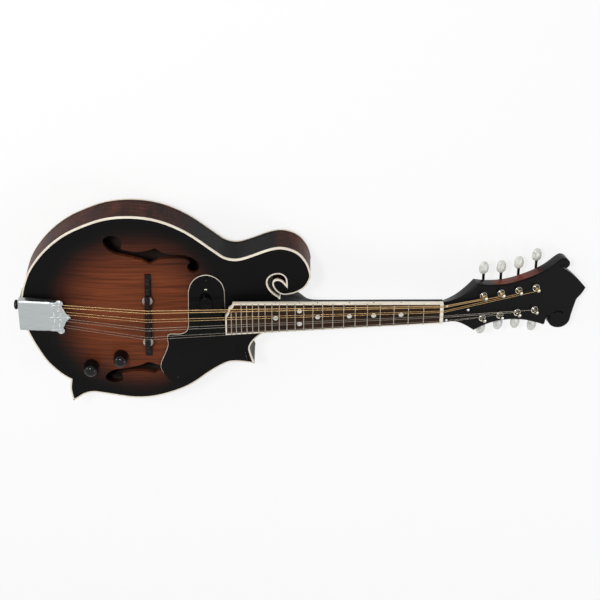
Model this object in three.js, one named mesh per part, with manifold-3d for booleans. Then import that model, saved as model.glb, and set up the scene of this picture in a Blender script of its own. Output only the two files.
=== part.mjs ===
// A carved F-style mandolin with a scroll, two body points, f-holes and eight strings.
// Millimetres. While it is built, X runs from the bridge line towards the head, Y towards the
// bass side, and Z up out of the soundboard, with Z = 0 at the top edge of the rim.
import * as THREE from 'three';
import { mergeVertices } from 'three/addons/utils/BufferGeometryUtils.js';
import Module from 'manifold-3d';

const wasm = await Module();
wasm.setup();

// Driving dimensions
const SCALE_LENGTH = 352;        // nut to bridge
const RIM_DEPTH = 48;            // outside of top edge to outside of back edge
const PLATE_EDGE = 6.5;          // thickness of both carved plates at the rim
const PLATE_MIDDLE = 4.5;        // and under the bridge
const TOP_ARCH = 16.5;
const BACK_ARCH = 14.5;
const BINDING = 2.2;
const RIB = 2.2;
const GAP = 0.3;                 // left between pieces that touch
const NECK_PITCH = THREE.MathUtils.degToRad(3);
const HEAD_PITCH = THREE.MathUtils.degToRad(16.3);
const BOARD_TOP_AT_NUT = 7.8;
const BOARD_THICKNESS = 5.5;
const NUT_HALF_WIDTH = 14.3;
const BOARD_TAPER = 0.0296;      // half width gained per millimetre from the nut
const NUT_LENGTH = 4;
const NUT_TOP = 0.9;             // string seats above the fretboard
const NECK_JOINT = 157.9;        // where the heel meets the body
const SADDLE_TOP = 34.6;
const STUD_Y = 29;               // the bridge's two height screws
const BRIDGE_SET_BACK = 1.5;     // of its middle, towards the tail
const BRIDGE_SKEW = THREE.MathUtils.degToRad(1.5);
const HEAD_THICKNESS = 15;
const POST_FIRST = 51.4;         // first string post from the nut
const POST_STEP = 23;
const POST_ROW = 15.8;           // post rows on each side of the centre line
const GEAR_TEETH = 14;
const GEAR_PITCH_RADIUS = 4.3;
const WORM_OFFSET = 6.9;         // worm axis from its post axis
const WORM_LEVEL = -19.8;        // worm axis below the head's face

const STRINGS = [                // name, gauge, course centre and side within the course
  { name: 'g1', radius: 0.5, course: 1.5, side: 0.5 },
  { name: 'g2', radius: 0.5, course: 1.5, side: -0.5 },
  { name: 'd1', radius: 0.33, course: 0.5, side: 0.5 },
  { name: 'd2', radius: 0.33, course: 0.5, side: -0.5 },
  { name: 'a1', radius: 0.2, course: -0.5, side: 0.5 },
  { name: 'a2', radius: 0.2, course: -0.5, side: -0.5 },
  { name: 'e1', radius: 0.15, course: -1.5, side: 0.5 },
  { name: 'e2', radius: 0.15, course: -1.5, side: -0.5 },
];

// Finishes
const finish = (color, roughness, metalness = 0) =>
  new THREE.MeshStandardMaterial({ color, roughness, metalness });
const topFinish = finish('#6b3a22', 0.6);
const ribFinish = finish('#3e1c12', 0.5);
const blackFinish = finish('#141312', 0.5);
const cream = finish('#e6dccb', 0.45);
const insideWood = finish('#b98f5f', 0.8);
const rosewood = finish('#3a2a20', 0.6);
const ebony = finish('#1a1817', 0.5);
const blackPlastic = finish('#101010', 0.25);
const nickel = finish('#c9c9c6', 0.25, 1);
const chrome = finish('#d8dadb', 0.12, 1);
const brass = finish('#b9974c', 0.35, 1);
const bronze = finish('#a9773f', 0.35, 1);
const pearl = finish('#dcdcd6', 0.3);
const bone = finish('#ece7da', 0.5);

const group = new THREE.Group();
const boardGroup = new THREE.Group();      // z = 0 on the fretboard, x = 0 at the nut
boardGroup.position.set(SCALE_LENGTH, 0, BOARD_TOP_AT_NUT);
boardGroup.rotation.y = NECK_PITCH;
const headGroup = new THREE.Group();       // z = 0 on the head's face, x = 0 behind the nut
headGroup.position.set(SCALE_LENGTH + 4.3, 0, 5.5);
headGroup.rotation.y = HEAD_PITCH;
group.add(boardGroup, headGroup);
group.updateMatrixWorld(true);

function place(name, geometry, material, parent = group) {
  const mesh = new THREE.Mesh(geometry, material);
  mesh.name = name;
  parent.add(mesh);
  return mesh;
}

// Solids
function solid(geometry) {
  const bare = geometry.clone();
  bare.deleteAttribute('normal');
  bare.deleteAttribute('uv');
  const merged = mergeVertices(bare, 1e-4);
  return new wasm.Manifold(new wasm.Mesh({
    numProp: 3,
    vertProperties: new Float32Array(merged.attributes.position.array),
    triVerts: new Uint32Array(merged.index.array),
  }));
}

function surface(manifold) {
  const mesh = manifold.getMesh();
  const geometry = new THREE.BufferGeometry();
  geometry.setAttribute('position', new THREE.BufferAttribute(mesh.vertProperties, 3));
  geometry.setIndex(new THREE.BufferAttribute(mesh.triVerts, 1));
  geometry.computeVertexNormals();
  return geometry;
}

const toShape = points => new THREE.Shape(points.map(([x, y]) => new THREE.Vector2(x, y)));

// A flat piece standing on z0.
function slab(points, z0, z1) {
  const depth = { depth: z1 - z0, bevelEnabled: false };
  return new THREE.ExtrudeGeometry(toShape(points), depth).translate(0, 0, z0);
}

// A side profile in X and Z, as wide as the given half width each way in Y.
function sideSlab(points, halfWidth, y = 0) {
  return slab(points, -halfWidth, halfWidth).rotateX(Math.PI / 2).translate(0, y, 0);
}

// An end profile in Y and Z, as long as the given half length each way in X.
function endSlab(points, halfLength, x = 0) {
  const geometry = slab(points, -halfLength, halfLength);
  return geometry.rotateX(Math.PI / 2).rotateZ(Math.PI / 2).translate(x, 0, 0);
}

function box(x0, x1, y0, y1, z0, z1) {
  const geometry = new THREE.BoxGeometry(x1 - x0, y1 - y0, z1 - z0);
  return geometry.translate((x0 + x1) / 2, (y0 + y1) / 2, (z0 + z1) / 2);
}

function rod(radius, z0, z1, x = 0, y = 0, sides = 12) {
  const geometry = new THREE.CylinderGeometry(radius, radius, z1 - z0, sides);
  return geometry.rotateX(Math.PI / 2).translate(x, y, (z0 + z1) / 2);
}

// A turned piece about the Z axis, from [radius, z] points.
function turned(profile, sides = 16) {
  const points = profile.map(([radius, z]) => new THREE.Vector2(radius, z));
  return new THREE.LatheGeometry(points, sides).rotateX(Math.PI / 2);
}

// A closed body through matching rings of points.
function loft(rings) {
  const count = rings[0].length;
  const positions = rings.flat(2);
  const index = [];
  for (let ring = 0; ring < rings.length - 1; ring += 1) {
    for (let i = 0; i < count; i += 1) {
      const a = ring * count + i;
      const b = ring * count + (i + 1) % count;
      index.push(a, b, b + count, a, b + count, a + count);
    }
  }
  const last = (rings.length - 1) * count;
  for (let i = 1; i < count - 1; i += 1) {
    index.push(0, i + 1, i, last, last + i, last + i + 1);
  }
  const geometry = new THREE.BufferGeometry();
  geometry.setAttribute('position', new THREE.Float32BufferAttribute(positions, 3));
  geometry.setIndex(index);
  return geometry;
}

// Outlines
const spline = (points, steps) =>
  new THREE.SplineCurve(points.map(([x, y]) => new THREE.Vector2(x, y)))
    .getPoints(steps).map(point => [point.x, point.y]);

const mirrored = points => points.map(([x, y]) => [x, -y]).reverse();

const joined = (...stretches) => stretches.flatMap(stretch => stretch.slice(0, -1));

const BASS_SIDE = [
  [-157, 0], [-156.2, 18.5], [-151.4, 38], [-143.2, 57.5], [-127.6, 79.5], [-108.4, 98],
  [-86, 112.2], [-52, 125.6], [-18.6, 128.9], [14.3, 123.6], [46.9, 108.1], [79.5, 82.7],
  [91.5, 73.9], [104.4, 71], [118, 74.1], [146.4, 85.2], [163.1, 86.8], [179.8, 80.1],
  [190.6, 65.9], [195.2, 49.9], [193.4, 41.1], [187.9, 31.8], [179.2, 25.7], [170.1, 22.5],
  [161.6, 21.9], [154.9, 25.4], [150.5, 31], [148.7, 36.7], [149.9, 41.3], [153.6, 43.5],
  [158.1, 43], [162, 40.4], [165.5, 36],
];
const SCROLL_SLOT = [
  [165.5, 36], [164.9, 43.6], [161.7, 48.4], [156.9, 50.5], [150.9, 49.7], [146, 46.7],
  [143.2, 41.6], [143.4, 35.3], [146.6, 28.6], [151.3, 23.4], [157.9, 18.6],
];
const NECK_END = [[157.9, 18.6], [157.9, -18.6]];
const CUTAWAY = [
  [157.9, -18.6], [149.2, -23.4], [136.8, -32.8], [127.2, -41.2], [121.2, -50.5],
  [120.3, -57.2], [123.2, -68.7], [126.3, -77.4],
];
const TREBLE_SIDE = [
  [126.3, -77.4], [113.3, -75.4], [103, -74.6], [91.7, -76.4], [74.1, -87.1], [43.1, -110.7],
  [8, -124.9], [-23.3, -128.5], [-60.4, -122.6], [-76, -120.3], [-86.5, -122.7],
  [-95.4, -128.5], [-102.4, -133.3],
];
const LOWER_POINT_BACK = [[-102.4, -133.3], [-105.2, -115], [-103.6, -101.2]];
const TREBLE_TAIL = [
  [-103.6, -101.2], [-115.4, -92.6], [-130.2, -76.2], [-140.8, -57.2], [-149.6, -36.8],
  [-155.4, -17.4], [-157, 0],
];

const bodyOutline = joined(
  spline(BASS_SIDE, 46), spline(SCROLL_SLOT, 10), NECK_END, spline(CUTAWAY, 8),
  spline(TREBLE_SIDE, 20), spline(LOWER_POINT_BACK, 2), spline(TREBLE_TAIL, 8),
);

function distanceToOutline([x, y], outline) {
  let nearest = Infinity;
  outline.forEach(([ax, ay], i) => {
    const [bx, by] = outline[(i + 1) % outline.length];
    const along = ((x - ax) * (bx - ax) + (y - ay) * (by - ay)) / ((bx - ax) ** 2 + (by - ay) ** 2);
    const t = Math.min(1, Math.max(0, along));
    nearest = Math.min(nearest, Math.hypot(x - ax - t * (bx - ax), y - ay - t * (by - ay)));
  });
  return nearest;
}

// The outline moved inwards, without the points that a narrow tip leaves too near the far side.
function inset(outline, distance) {
  const count = outline.length;
  const moved = outline.map(([x, y], i) => {
    const before = outline[(i + count - 1) % count];
    const after = outline[(i + 1) % count];
    const d1 = new THREE.Vector2(x - before[0], y - before[1]).normalize();
    const d2 = new THREE.Vector2(after[0] - x, after[1] - y).normalize();
    const inward = new THREE.Vector2(d1.y + d2.y, -d1.x - d2.x).normalize();
    const spread = Math.max(0.35, inward.x * d1.y - inward.y * d1.x);
    return [x + inward.x * distance / spread, y + inward.y * distance / spread];
  });
  return moved.filter(point => distanceToOutline(point, outline) >= distance * 0.97);
}

const bodySlab = (distance, z0, z1) => slab(inset(bodyOutline, distance), z0, z1);
const bodyRing = (outer, inner, z0, z1) =>
  solid(bodySlab(outer, z0, z1)).subtract(solid(bodySlab(inner, z0 - 1, z1 + 1)));

// The sound chamber is the outline without the scroll, the upper point and the neck joint.
const CHAMBER_END = 112;
const chamberOutline = bodyOutline.filter(([x]) => x < CHAMBER_END);
const chamberSlab = (distance, z0, z1) => slab(inset(chamberOutline, distance), z0, z1);

// Arching: the plates rise from an oval inside the rim to a small level spot in the middle.
const ARCH = { centre: -25, tailward: 118, headward: 175, across: 118, fullness: 1.7 };
const ARCH_RINGS = [1, 0.9, 0.78, 0.64, 0.48, 0.3, 0.12];
const ARCH_SIDES = 28;
const archRise = radius => (1 - Math.max(radius, 0.12) ** 2) ** 1.5;

function archRing(radius, z) {
  return Array.from({ length: ARCH_SIDES }, (_, i) => {
    const angle = i / ARCH_SIDES * 2 * Math.PI;
    const headward = Math.cos(angle) > 1e-9;
    const power = headward ? 2 / ARCH.fullness : 1;
    const run = headward ? ARCH.headward : ARCH.tailward;
    const x = Math.sign(Math.cos(angle)) * Math.abs(Math.cos(angle)) ** power;
    const y = Math.sign(Math.sin(angle)) * Math.abs(Math.sin(angle)) ** power;
    return [ARCH.centre + run * radius * x, ARCH.across * radius * y, z];
  });
}

// The solid between a level floor and the arched surface.
function arch(edge, rise, floor) {
  const rings = [archRing(1, floor)];
  ARCH_RINGS.forEach(radius => rings.push(archRing(radius, edge + rise * archRise(radius))));
  return solid(loft(rise > 0 ? rings : rings.reverse()));
}

// Everything under the soundboard's surface raised by a height.
const underTop = height =>
  arch(height, TOP_ARCH, height - 1).add(solid(box(-250, 250, -200, 200, -60, height)));

const F_HOLE = [
  [-31.5, 88.3], [-30.7, 96.2], [-32.5, 101.3], [-39, 104], [-47, 103.7], [-52.4, 99.3],
  [-52, 93.3], [-46.6, 86.5], [-38.4, 82], [-25.3, 79.1], [-9, 74.8], [1.5, 69.5], [7.8, 71.1],
  [15, 74.6], [30, 75.8], [43, 74.6], [50.6, 69.6], [47.1, 65.7], [47.4, 60.7], [51.5, 56.8],
  [57.5, 56.8], [61.7, 62], [60.5, 68.3], [54.2, 74.4], [44, 78.8], [27, 80.9], [17.6, 83.7],
  [9.4, 89], [1.1, 86.3], [-12, 84.7], [-24, 86.4],
];

const TREBLE_F_HOLE = mirrored(F_HOLE).map(([x, y]) => [x - 7.2, y]);

const KNOBS = [
  { name: 'volume', x: -75.4, y: -75.6, surface: 5 },
  { name: 'tone', x: -37.6, y: -58, surface: 11 },
];
const POT_HOLE = 3.6;

function buildPlates() {
  let top = solid(bodySlab(BINDING + GAP, -PLATE_EDGE, 0));
  const limits = solid(bodySlab(BINDING + GAP, -30, 30));
  top = top.add(arch(0, TOP_ARCH, -PLATE_EDGE).intersect(limits));
  const innerRise = TOP_ARCH + PLATE_EDGE - PLATE_MIDDLE;
  top = top.subtract(arch(-PLATE_EDGE, innerRise, -PLATE_EDGE - 3));
  [F_HOLE, TREBLE_F_HOLE].forEach(hole => {
    top = top.subtract(solid(slab(hole, -20, 30)));
  });
  KNOBS.forEach(({ x, y }) => {
    top = top.subtract(solid(rod(POT_HOLE, -20, 30, x, y)));
  });
  place('soundboard', surface(top), topFinish);

  const backEdge = -RIM_DEPTH;
  let back = solid(bodySlab(BINDING + GAP, backEdge, backEdge + PLATE_EDGE));
  back = back.add(arch(backEdge, -BACK_ARCH, backEdge + PLATE_EDGE)
    .intersect(solid(bodySlab(BINDING + GAP, -90, 0))));
  const hollow = arch(backEdge + PLATE_EDGE, -BACK_ARCH - PLATE_EDGE + PLATE_MIDDLE, backEdge + 8);
  place('back_plate', surface(back.subtract(hollow)), ribFinish);
}

const RIM_TOP = -PLATE_EDGE - GAP;
const RIM_BOTTOM = -RIM_DEPTH + PLATE_EDGE + GAP;
const BUTTON_LEVEL = -14;
const JACK_LEVEL = -33;
const JACK_RADIUS = 5.5;

// A piece at the tail with the holes for the strap button and the output jack.
function tailDrilled(piece) {
  const bore = (radius, z) =>
    solid(rod(radius, -200, -100, 0, 0, 16).rotateY(Math.PI / 2).translate(0, 0, z));
  return piece.subtract(bore(3, BUTTON_LEVEL)).subtract(bore(JACK_RADIUS + GAP, JACK_LEVEL));
}

function buildBindings() {
  const neckOpening = solid(box(NECK_JOINT - 6, 170, -14, 14, -60, 20));
  [['top_binding', -PLATE_EDGE, 0], ['back_binding', -RIM_DEPTH, -RIM_DEPTH + PLATE_EDGE]]
    .forEach(([name, z0, z1]) => {
      place(name, surface(bodyRing(0, BINDING, z0, z1).subtract(neckOpening)), cream);
    });
}

function buildRim() {
  const ribOuter = 0.4;
  const ribInner = ribOuter + RIB;
  const ring = bodyRing(ribOuter, ribInner, RIM_BOTTOM, RIM_TOP)
    .subtract(solid(box(NECK_JOINT - 6, 170, -14, 14, -60, 20)));
  const halves = { bass_rib: [GAP / 2, 200], treble_rib: [-200, -GAP / 2] };
  Object.entries(halves).forEach(([name, [y0, y1]]) => {
    const half = solid(box(-250, 250, y0, y1, -60, 20));
    place(name, surface(tailDrilled(ring.intersect(half))), ribFinish);
  });

  const liningOuter = ribInner + GAP;
  const liningInner = liningOuter + 4.5;
  const liningLimit = solid(box(-250, CHAMBER_END - 9, -200, 200, -60, 20));
  [['top_lining', RIM_TOP - 8, RIM_TOP], ['back_lining', RIM_BOTTOM, RIM_BOTTOM + 8]]
    .forEach(([name, z0, z1]) => {
      const lining = solid(chamberSlab(liningOuter, z0, z1))
        .subtract(solid(chamberSlab(liningInner, z0 - 1, z1 + 1)));
      place(name, surface(tailDrilled(lining.intersect(liningLimit))), insideWood);
    });

  const tenonSlot = solid(slab(tenonPlan(GAP), -60, 20));
  const blocks = solid(bodySlab(liningOuter, RIM_BOTTOM, RIM_TOP));
  const headEnd = solid(slab([[108.5, 90], [220, 90], [220, -100], [108.5, -100],
    [118, -42], [128, -20], [128, 20], [118, 45]], -60, 20));
  place('head_block', surface(blocks.intersect(headEnd).subtract(tenonSlot)), insideWood);

  const innerBlocks = solid(chamberSlab(liningInner + GAP, RIM_BOTTOM, RIM_TOP));
  const tailEnd = solid(box(-200, -126, -28, 28, -60, 20));
  place('tail_block', surface(tailDrilled(innerBlocks.intersect(tailEnd))), insideWood);
  const pointEnd = solid(box(-112, -74, -150, -102, -60, 20));
  place('lower_point_block', surface(innerBlocks.intersect(pointEnd)), insideWood);
}

// The dovetail that holds the neck in the head block, seen from above.
function tenonPlan(clearance) {
  const narrow = 9 + clearance;
  const wide = 12 + clearance;
  const x0 = 136 - clearance;
  return [[x0, -wide], [NECK_JOINT + 2, -narrow], [NECK_JOINT + 2, narrow], [x0, wide]];
}

function buildToneBars() {
  const underside = arch(-PLATE_EDGE - GAP, TOP_ARCH + PLATE_EDGE - PLATE_MIDDLE, -14);
  const profile = [[-88, 20], [-88, -5.5], [-55, -2], [-25, 1.5], [20, 0], [75, -6.5], [75, 20]];
  [['bass_tone_bar', 24], ['treble_tone_bar', -24]].forEach(([name, y]) => {
    place(name, surface(solid(sideSlab(profile, 3, y)).intersect(underside)), insideWood);
  });
}

// Neck
const boardTopAt = x => BOARD_TOP_AT_NUT + (SCALE_LENGTH - x) * Math.tan(NECK_PITCH);
const boardHalfWidth = x => NUT_HALF_WIDTH + (SCALE_LENGTH - x) * BOARD_TAPER;
const SHAFT_SECTION = [[1, 0], [0.96, 0.3], [0.82, 0.58], [0.6, 0.81], [0.32, 0.95], [0, 1]];
const HEEL_SECTION = [[1, 0], [0.86, 0.25], [0.76, 0.5], [0.62, 0.75], [0.45, 0.96], [0, 1]];
const NECK_STATIONS = [          // distance from the bridge, underside, share of heel section
  [158.2, -48, 1], [166, -45, 1], [175, -37, 1], [183, -27, 0.9], [190, -17, 0.6],
  [197, -10.5, 0.3], [207, -7, 0], [240, -7.8, 0], [300, -11, 0], [340, -12.8, 0],
  [354, -13.6, 0],
];

function neckRing([x, bottom, heel]) {
  const top = boardTopAt(x) - BOARD_THICKNESS - GAP;
  const side = SHAFT_SECTION.map(([wide, deep], i) => {
    const [heelWide, heelDeep] = HEEL_SECTION[i];
    const y = boardHalfWidth(x) * THREE.MathUtils.lerp(wide, heelWide, heel);
    return [x, y, top - (top - bottom) * THREE.MathUtils.lerp(deep, heelDeep, heel)];
  });
  const otherSide = side.slice(0, -1).map(([sx, y, z]) => [sx, -y, z]).reverse();
  return side.concat(otherSide);
}

const HEAD_BASS = [[1.2, 14.3], [10, 14.6], [21, 17.4], [33, 24], [43, 33]];
const HEAD_BASS_EDGE = [
  [43, 33], [55, 29.6], [66, 27.6], [80.2, 26.4], [94.4, 27.4], [108.4, 30], [122.5, 34],
  [136.2, 39.8], [149.8, 49], [156.7, 50.6], [162.8, 46], [163.8, 39.6], [158.6, 36],
  [153.6, 40.2],
];
const HEAD_TIP_BASS = [[153.6, 40.2], [157.4, 35.6], [165.8, 28.8], [178, 16.2], [188, 3.8]];
const HEAD_TIP_TREBLE = [
  [188, 3.8], [183.2, -4.1], [177.2, -10.8], [174.4, -19.9], [171.4, -32], [169, -42.4],
  [162, -48], [153.3, -48.2], [145, -44], [140.4, -36.5], [138.6, -29.6],
];
const HEAD_TREBLE_EDGE = [
  [138.6, -29.6], [137, -34], [135.1, -40.3], [127.7, -37.2], [112.6, -30.7], [98, -26.6],
  [83.4, -24.7], [69.1, -24.8], [54.9, -27.6], [41.5, -32.6],
];
const HEAD_TREBLE = [[41.5, -32.6], [29, -22.6], [18, -16.4], [8, -14.6], [1.2, -14.3]];
const headOutline = joined(
  spline(HEAD_BASS, 4), spline(HEAD_BASS_EDGE, 15), spline(HEAD_TIP_BASS, 4),
  spline(HEAD_TIP_TREBLE, 14), spline(HEAD_TREBLE_EDGE, 10), spline(HEAD_TREBLE, 4),
  [[1.2, -14.3], [1.2, -14.3]],
);

const TRUSS_CHANNEL = { x0: 172, half: 3.4, depth: 9 };

function buildNeck() {
  const toBody = headGroup.matrixWorld;
  let head = solid(slab(headOutline, -HEAD_THICKNESS, 0));
  postPlaces().forEach(({ x, y }) => {
    head = head.subtract(solid(rod(3.6, -20, 5, x, y, 8)));
  });
  head = head.subtract(solid(box(-8, 28, -3.6, 3.6, -7, 5)));
  head = solid(surface(head).applyMatrix4(toBody));
  const under = boardTopAt(104) - BOARD_THICKNESS - GAP - 0.05;
  const joint = boardTopAt(160) - BOARD_THICKNESS - GAP - 0.05;
  const rise = [[104, 6.5], [160, 0.5], [160, joint], [104, under]];
  const neck = solid(loft(NECK_STATIONS.map(neckRing).reverse()))
    .add(solid(sideSlab(rise, 17)))
    .add(solid(slab(tenonPlan(0), RIM_BOTTOM + 1, RIM_TOP - 0.5)))
    .add(head)
    .subtract(trussChannel());
  place('neck', surface(neck), blackFinish);
}

function trussChannel() {
  const start = TRUSS_CHANNEL.x0 - SCALE_LENGTH;
  const floor = -BOARD_THICKNESS - TRUSS_CHANNEL.depth;
  const channel = box(start, 12, -TRUSS_CHANNEL.half, TRUSS_CHANNEL.half, floor, 0);
  return solid(channel.applyMatrix4(boardGroup.matrixWorld));
}

function buildTrussRod() {
  const start = TRUSS_CHANNEL.x0 - SCALE_LENGTH + GAP + 1;
  const level = -BOARD_THICKNESS - TRUSS_CHANNEL.depth / 2;
  const bar = solid(rod(2.6, start, 8, 0, 0, 10).rotateY(Math.PI / 2).translate(0, 0, level));
  const nut = solid(rod(3, 5.5, 11, 0, 0, 6).rotateY(Math.PI / 2).translate(0, 0, level));
  place('truss_rod', surface(bar.add(nut)), nickel, boardGroup);
  const cover = [[1, 12.2], [5.5, 12.6], [9.5, 9.6], [14, 6.6], [22, 4.6], [30, 4.4], [35.4, 2.8], [37, 0]];
  const outline = joined(spline(cover, 14), spline(mirrored(cover), 14), [[1, -12.2], [1, -12.2]]);
  place('truss_rod_cover', slab(outline.slice().reverse(), GAP, 2.2), blackPlastic, headGroup);
}

// Fretboard
const boardWidthAt = x => NUT_HALF_WIDTH - x * BOARD_TAPER;
const BOARD_END = -260.5;
const RAIL = { half: 1.6, depth: 2.2 };
const FRET_TOP = 0.9;

function boardOutline(trim) {
  const wide = x => boardWidthAt(x) - trim;
  const end = BOARD_END + trim;
  return [
    [0, -wide(0)], [0, wide(0)], [end + 9.7, wide(end + 9.7)], [end + 8, 17 - trim],
    [end + 4.5, 14.5 - trim], [end + 3, 8], [end, 3], [end, -wide(end)],
  ].reverse();
}

const fretAt = number => SCALE_LENGTH * (2 ** (-number / 12) - 1);

function buildFretboard() {
  const board = slab(boardOutline(BINDING + GAP), -BOARD_THICKNESS, 0);
  const channel = box(BOARD_END - 5, -6, -RAIL.half - GAP, RAIL.half + GAP, -RAIL.depth - GAP, 1);
  place('fretboard', surface(solid(board).subtract(solid(channel))), rosewood, boardGroup);

  const trimmed = solid(slab(boardOutline(BINDING), -BOARD_THICKNESS - 1, 1));
  const open = solid(box(-0.2, 5, -30, 30, -20, 5));
  const edge = solid(slab(boardOutline(0), -BOARD_THICKNESS, 0)).subtract(trimmed).subtract(open);
  place('fretboard_binding', surface(edge), cream, boardGroup);

  let frets = solid(box(BOARD_END + 4.5, -10, -RAIL.half, RAIL.half, -RAIL.depth, 0.6));
  for (let number = 1; number <= 22; number += 1) {
    const x = fretAt(number);
    const wide = boardWidthAt(x) - 0.2;
    const bassEnd = number < 21 ? wide : 10;
    frets = frets.add(solid(box(x - 0.7, x + 0.7, -wide, bassEnd, GAP, FRET_TOP)));
  }
  place('frets', surface(frets), nickel, boardGroup);

  const nut = box(GAP, NUT_LENGTH, -NUT_HALF_WIDTH, NUT_HALF_WIDTH, -BOARD_THICKNESS, NUT_TOP);
  place('nut', nut, bone, boardGroup);
}

// Pickguard, pickup and controls
const PICKGUARD = [
  [90.5, 31.6], [87.2, 41.6], [79, 49.6], [69.3, 53], [59, 50.8], [51.5, 43.8], [48, 33.3],
];
const PICKGUARD_EDGE = [
  [47, -14.2], [44, -22.2], [36, -25.7], [21.6, -26.2], [21.2, -41.2], [17.1, -54.7], [12.2, -67.2],
  [10.6, -76.7], [12.9, -86.2], [17.5, -93.5],
];
const PICKGUARD_RIM = [
  [17.5, -93.5], [20.5, -99.8], [31, -105.7], [43.1, -103.7], [60, -91.7], [76, -79.2],
  [91.7, -70.2], [105, -68.4], [117, -70.4],
];
const PICKGUARD_HEEL = [[117, -70.4], [114.6, -58], [116.6, -49.4], [122.6, -40.8], [131, -32.6]];

function buildPickguard() {
  const outline = [
    ...spline(PICKGUARD, 12), ...spline(PICKGUARD_EDGE, 14), ...spline(PICKGUARD_RIM, 10).slice(1),
    ...spline(PICKGUARD_HEEL, 5).slice(1), [128, -26], [90.5, -24],
  ];
  const board = solid(box(91.5, 160, -23.5, 40, 0, 60));
  const plate = solid(slab(outline.reverse(), 0, 40))
    .intersect(underTop(2.8)).subtract(underTop(0.6)).subtract(board);
  place('pickguard', surface(plate), blackPlastic);

  const half = 7;
  const round = Array.from({ length: 7 }, (_, i) => {
    const angle = i / 6 * Math.PI;
    return [69 + half * Math.cos(angle), 22 + half * Math.sin(angle)];
  });
  const foot = [[62, -27], [76, -27]];
  const pickup = solid(slab([...round, ...foot], 0, 19.5)).subtract(underTop(3.1));
  place('pickup', surface(pickup), blackPlastic);
}

function buildControls() {
  KNOBS.forEach(({ name, x, y, surface: level }) => {
    const knob = turned([
      [0, -20], [1.6, -20], [1.6, 6], [5, 6], [5, 0.6], [8.8, 0.6], [9.4, 1.2], [8.9, 8],
      [8.4, 14.4], [6.4, 17.6], [0, 18.4],
    ], 14);
    place(`knob_${name}`, knob, blackPlastic).position.set(x, y, level + 1);
    const pot = turned([
      [2.1, -19], [8.5, -19], [8.5, -10], [3.2, -10], [3.2, 1.5], [2.1, 1.5], [2.1, -19],
    ], 14);
    place(`pot_${name}`, pot, nickel).position.set(x, y, level);
  });
}

// Bridge
const BASE_PROFILE = [
  [-57.5, 2], [57.5, 2], [57.5, 13], [51, 14], [48, 17.5], [40, 18.5], [36, 23], [21, 23],
  [12, 20], [0, 19.2], [-12, 20], [-21, 23], [-36, 23], [-40, 18.5], [-48, 17.5], [-51, 14],
  [-57.5, 13],
];
const SADDLE_PROFILE = [
  [-37, 28.2], [37, 28.2], [36, 31.5], [30, 33.4], [24, SADDLE_TOP], [-24, SADDLE_TOP],
  [-30, 33.4], [-36, 31.5],
];
const SADDLE_CREST = [
  [-3.2, 27], [3.2, 27], [3.2, 31.5], [1.2, SADDLE_TOP - 0.4], [0, SADDLE_TOP],
  [-1.2, SADDLE_TOP - 0.4], [-3.2, 31.5],
];
const WHEEL_LEVEL = 26;

// A place on the bridge, which stands a little askew with its bass end nearer the head.
const onBridge = y =>
  [y * Math.sin(BRIDGE_SKEW) - BRIDGE_SET_BACK, y * Math.cos(BRIDGE_SKEW)];

function buildBridge() {
  let base = solid(endSlab(BASE_PROFILE, 4));
  let saddle = solid(endSlab(SADDLE_PROFILE, 4)).intersect(solid(sideSlab(SADDLE_CREST, 45)));
  [['thumbwheel_bass', STUD_Y], ['thumbwheel_treble', -STUD_Y]].forEach(([name, y]) => {
    base = base.add(solid(rod(1.8, 20, 31, 0, y, 10)));
    saddle = saddle.subtract(solid(rod(2.3, 20, 32.2, 0, y, 10)));
    const wheel = turned([
      [2.2, -0.9], [6.4, -0.9], [6.4, 0.9], [2.2, 0.9], [2.2, -0.9],
    ], 16);
    place(name, wheel, chrome).position.set(...onBridge(y), WHEEL_LEVEL);
  });
  const turn = THREE.MathUtils.radToDeg(-BRIDGE_SKEW);
  const settled = piece => piece.rotate([0, 0, turn]).translate([-BRIDGE_SET_BACK, 0, 0]);
  place('bridge_base', surface(settled(base).subtract(underTop(GAP))), ebony);
  place('bridge_saddle', surface(settled(saddle)), ebony);
}

// Tail
const TAIL_X = -157.3;
const TAIL_METAL = 0.8;          // thickness of the bracket's sheet
const HOOK_X = -132;
const HOOK_TOP = 8.3;
const COVER_TIP = [
  [-120, 20.4], [-113.4, 20.6], [-111.2, 23], [-107.8, 23.8], [-104.4, 21.6], [-103.6, 18.2],
  [-105, 15], [-103, 11], [-100.8, 6], [-94.8, 0],
];

const courseY = (string, pitch, spacing) => string.course * pitch + string.side * spacing;
const tailY = string => courseY(string, 8.6, 3.6);

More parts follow.
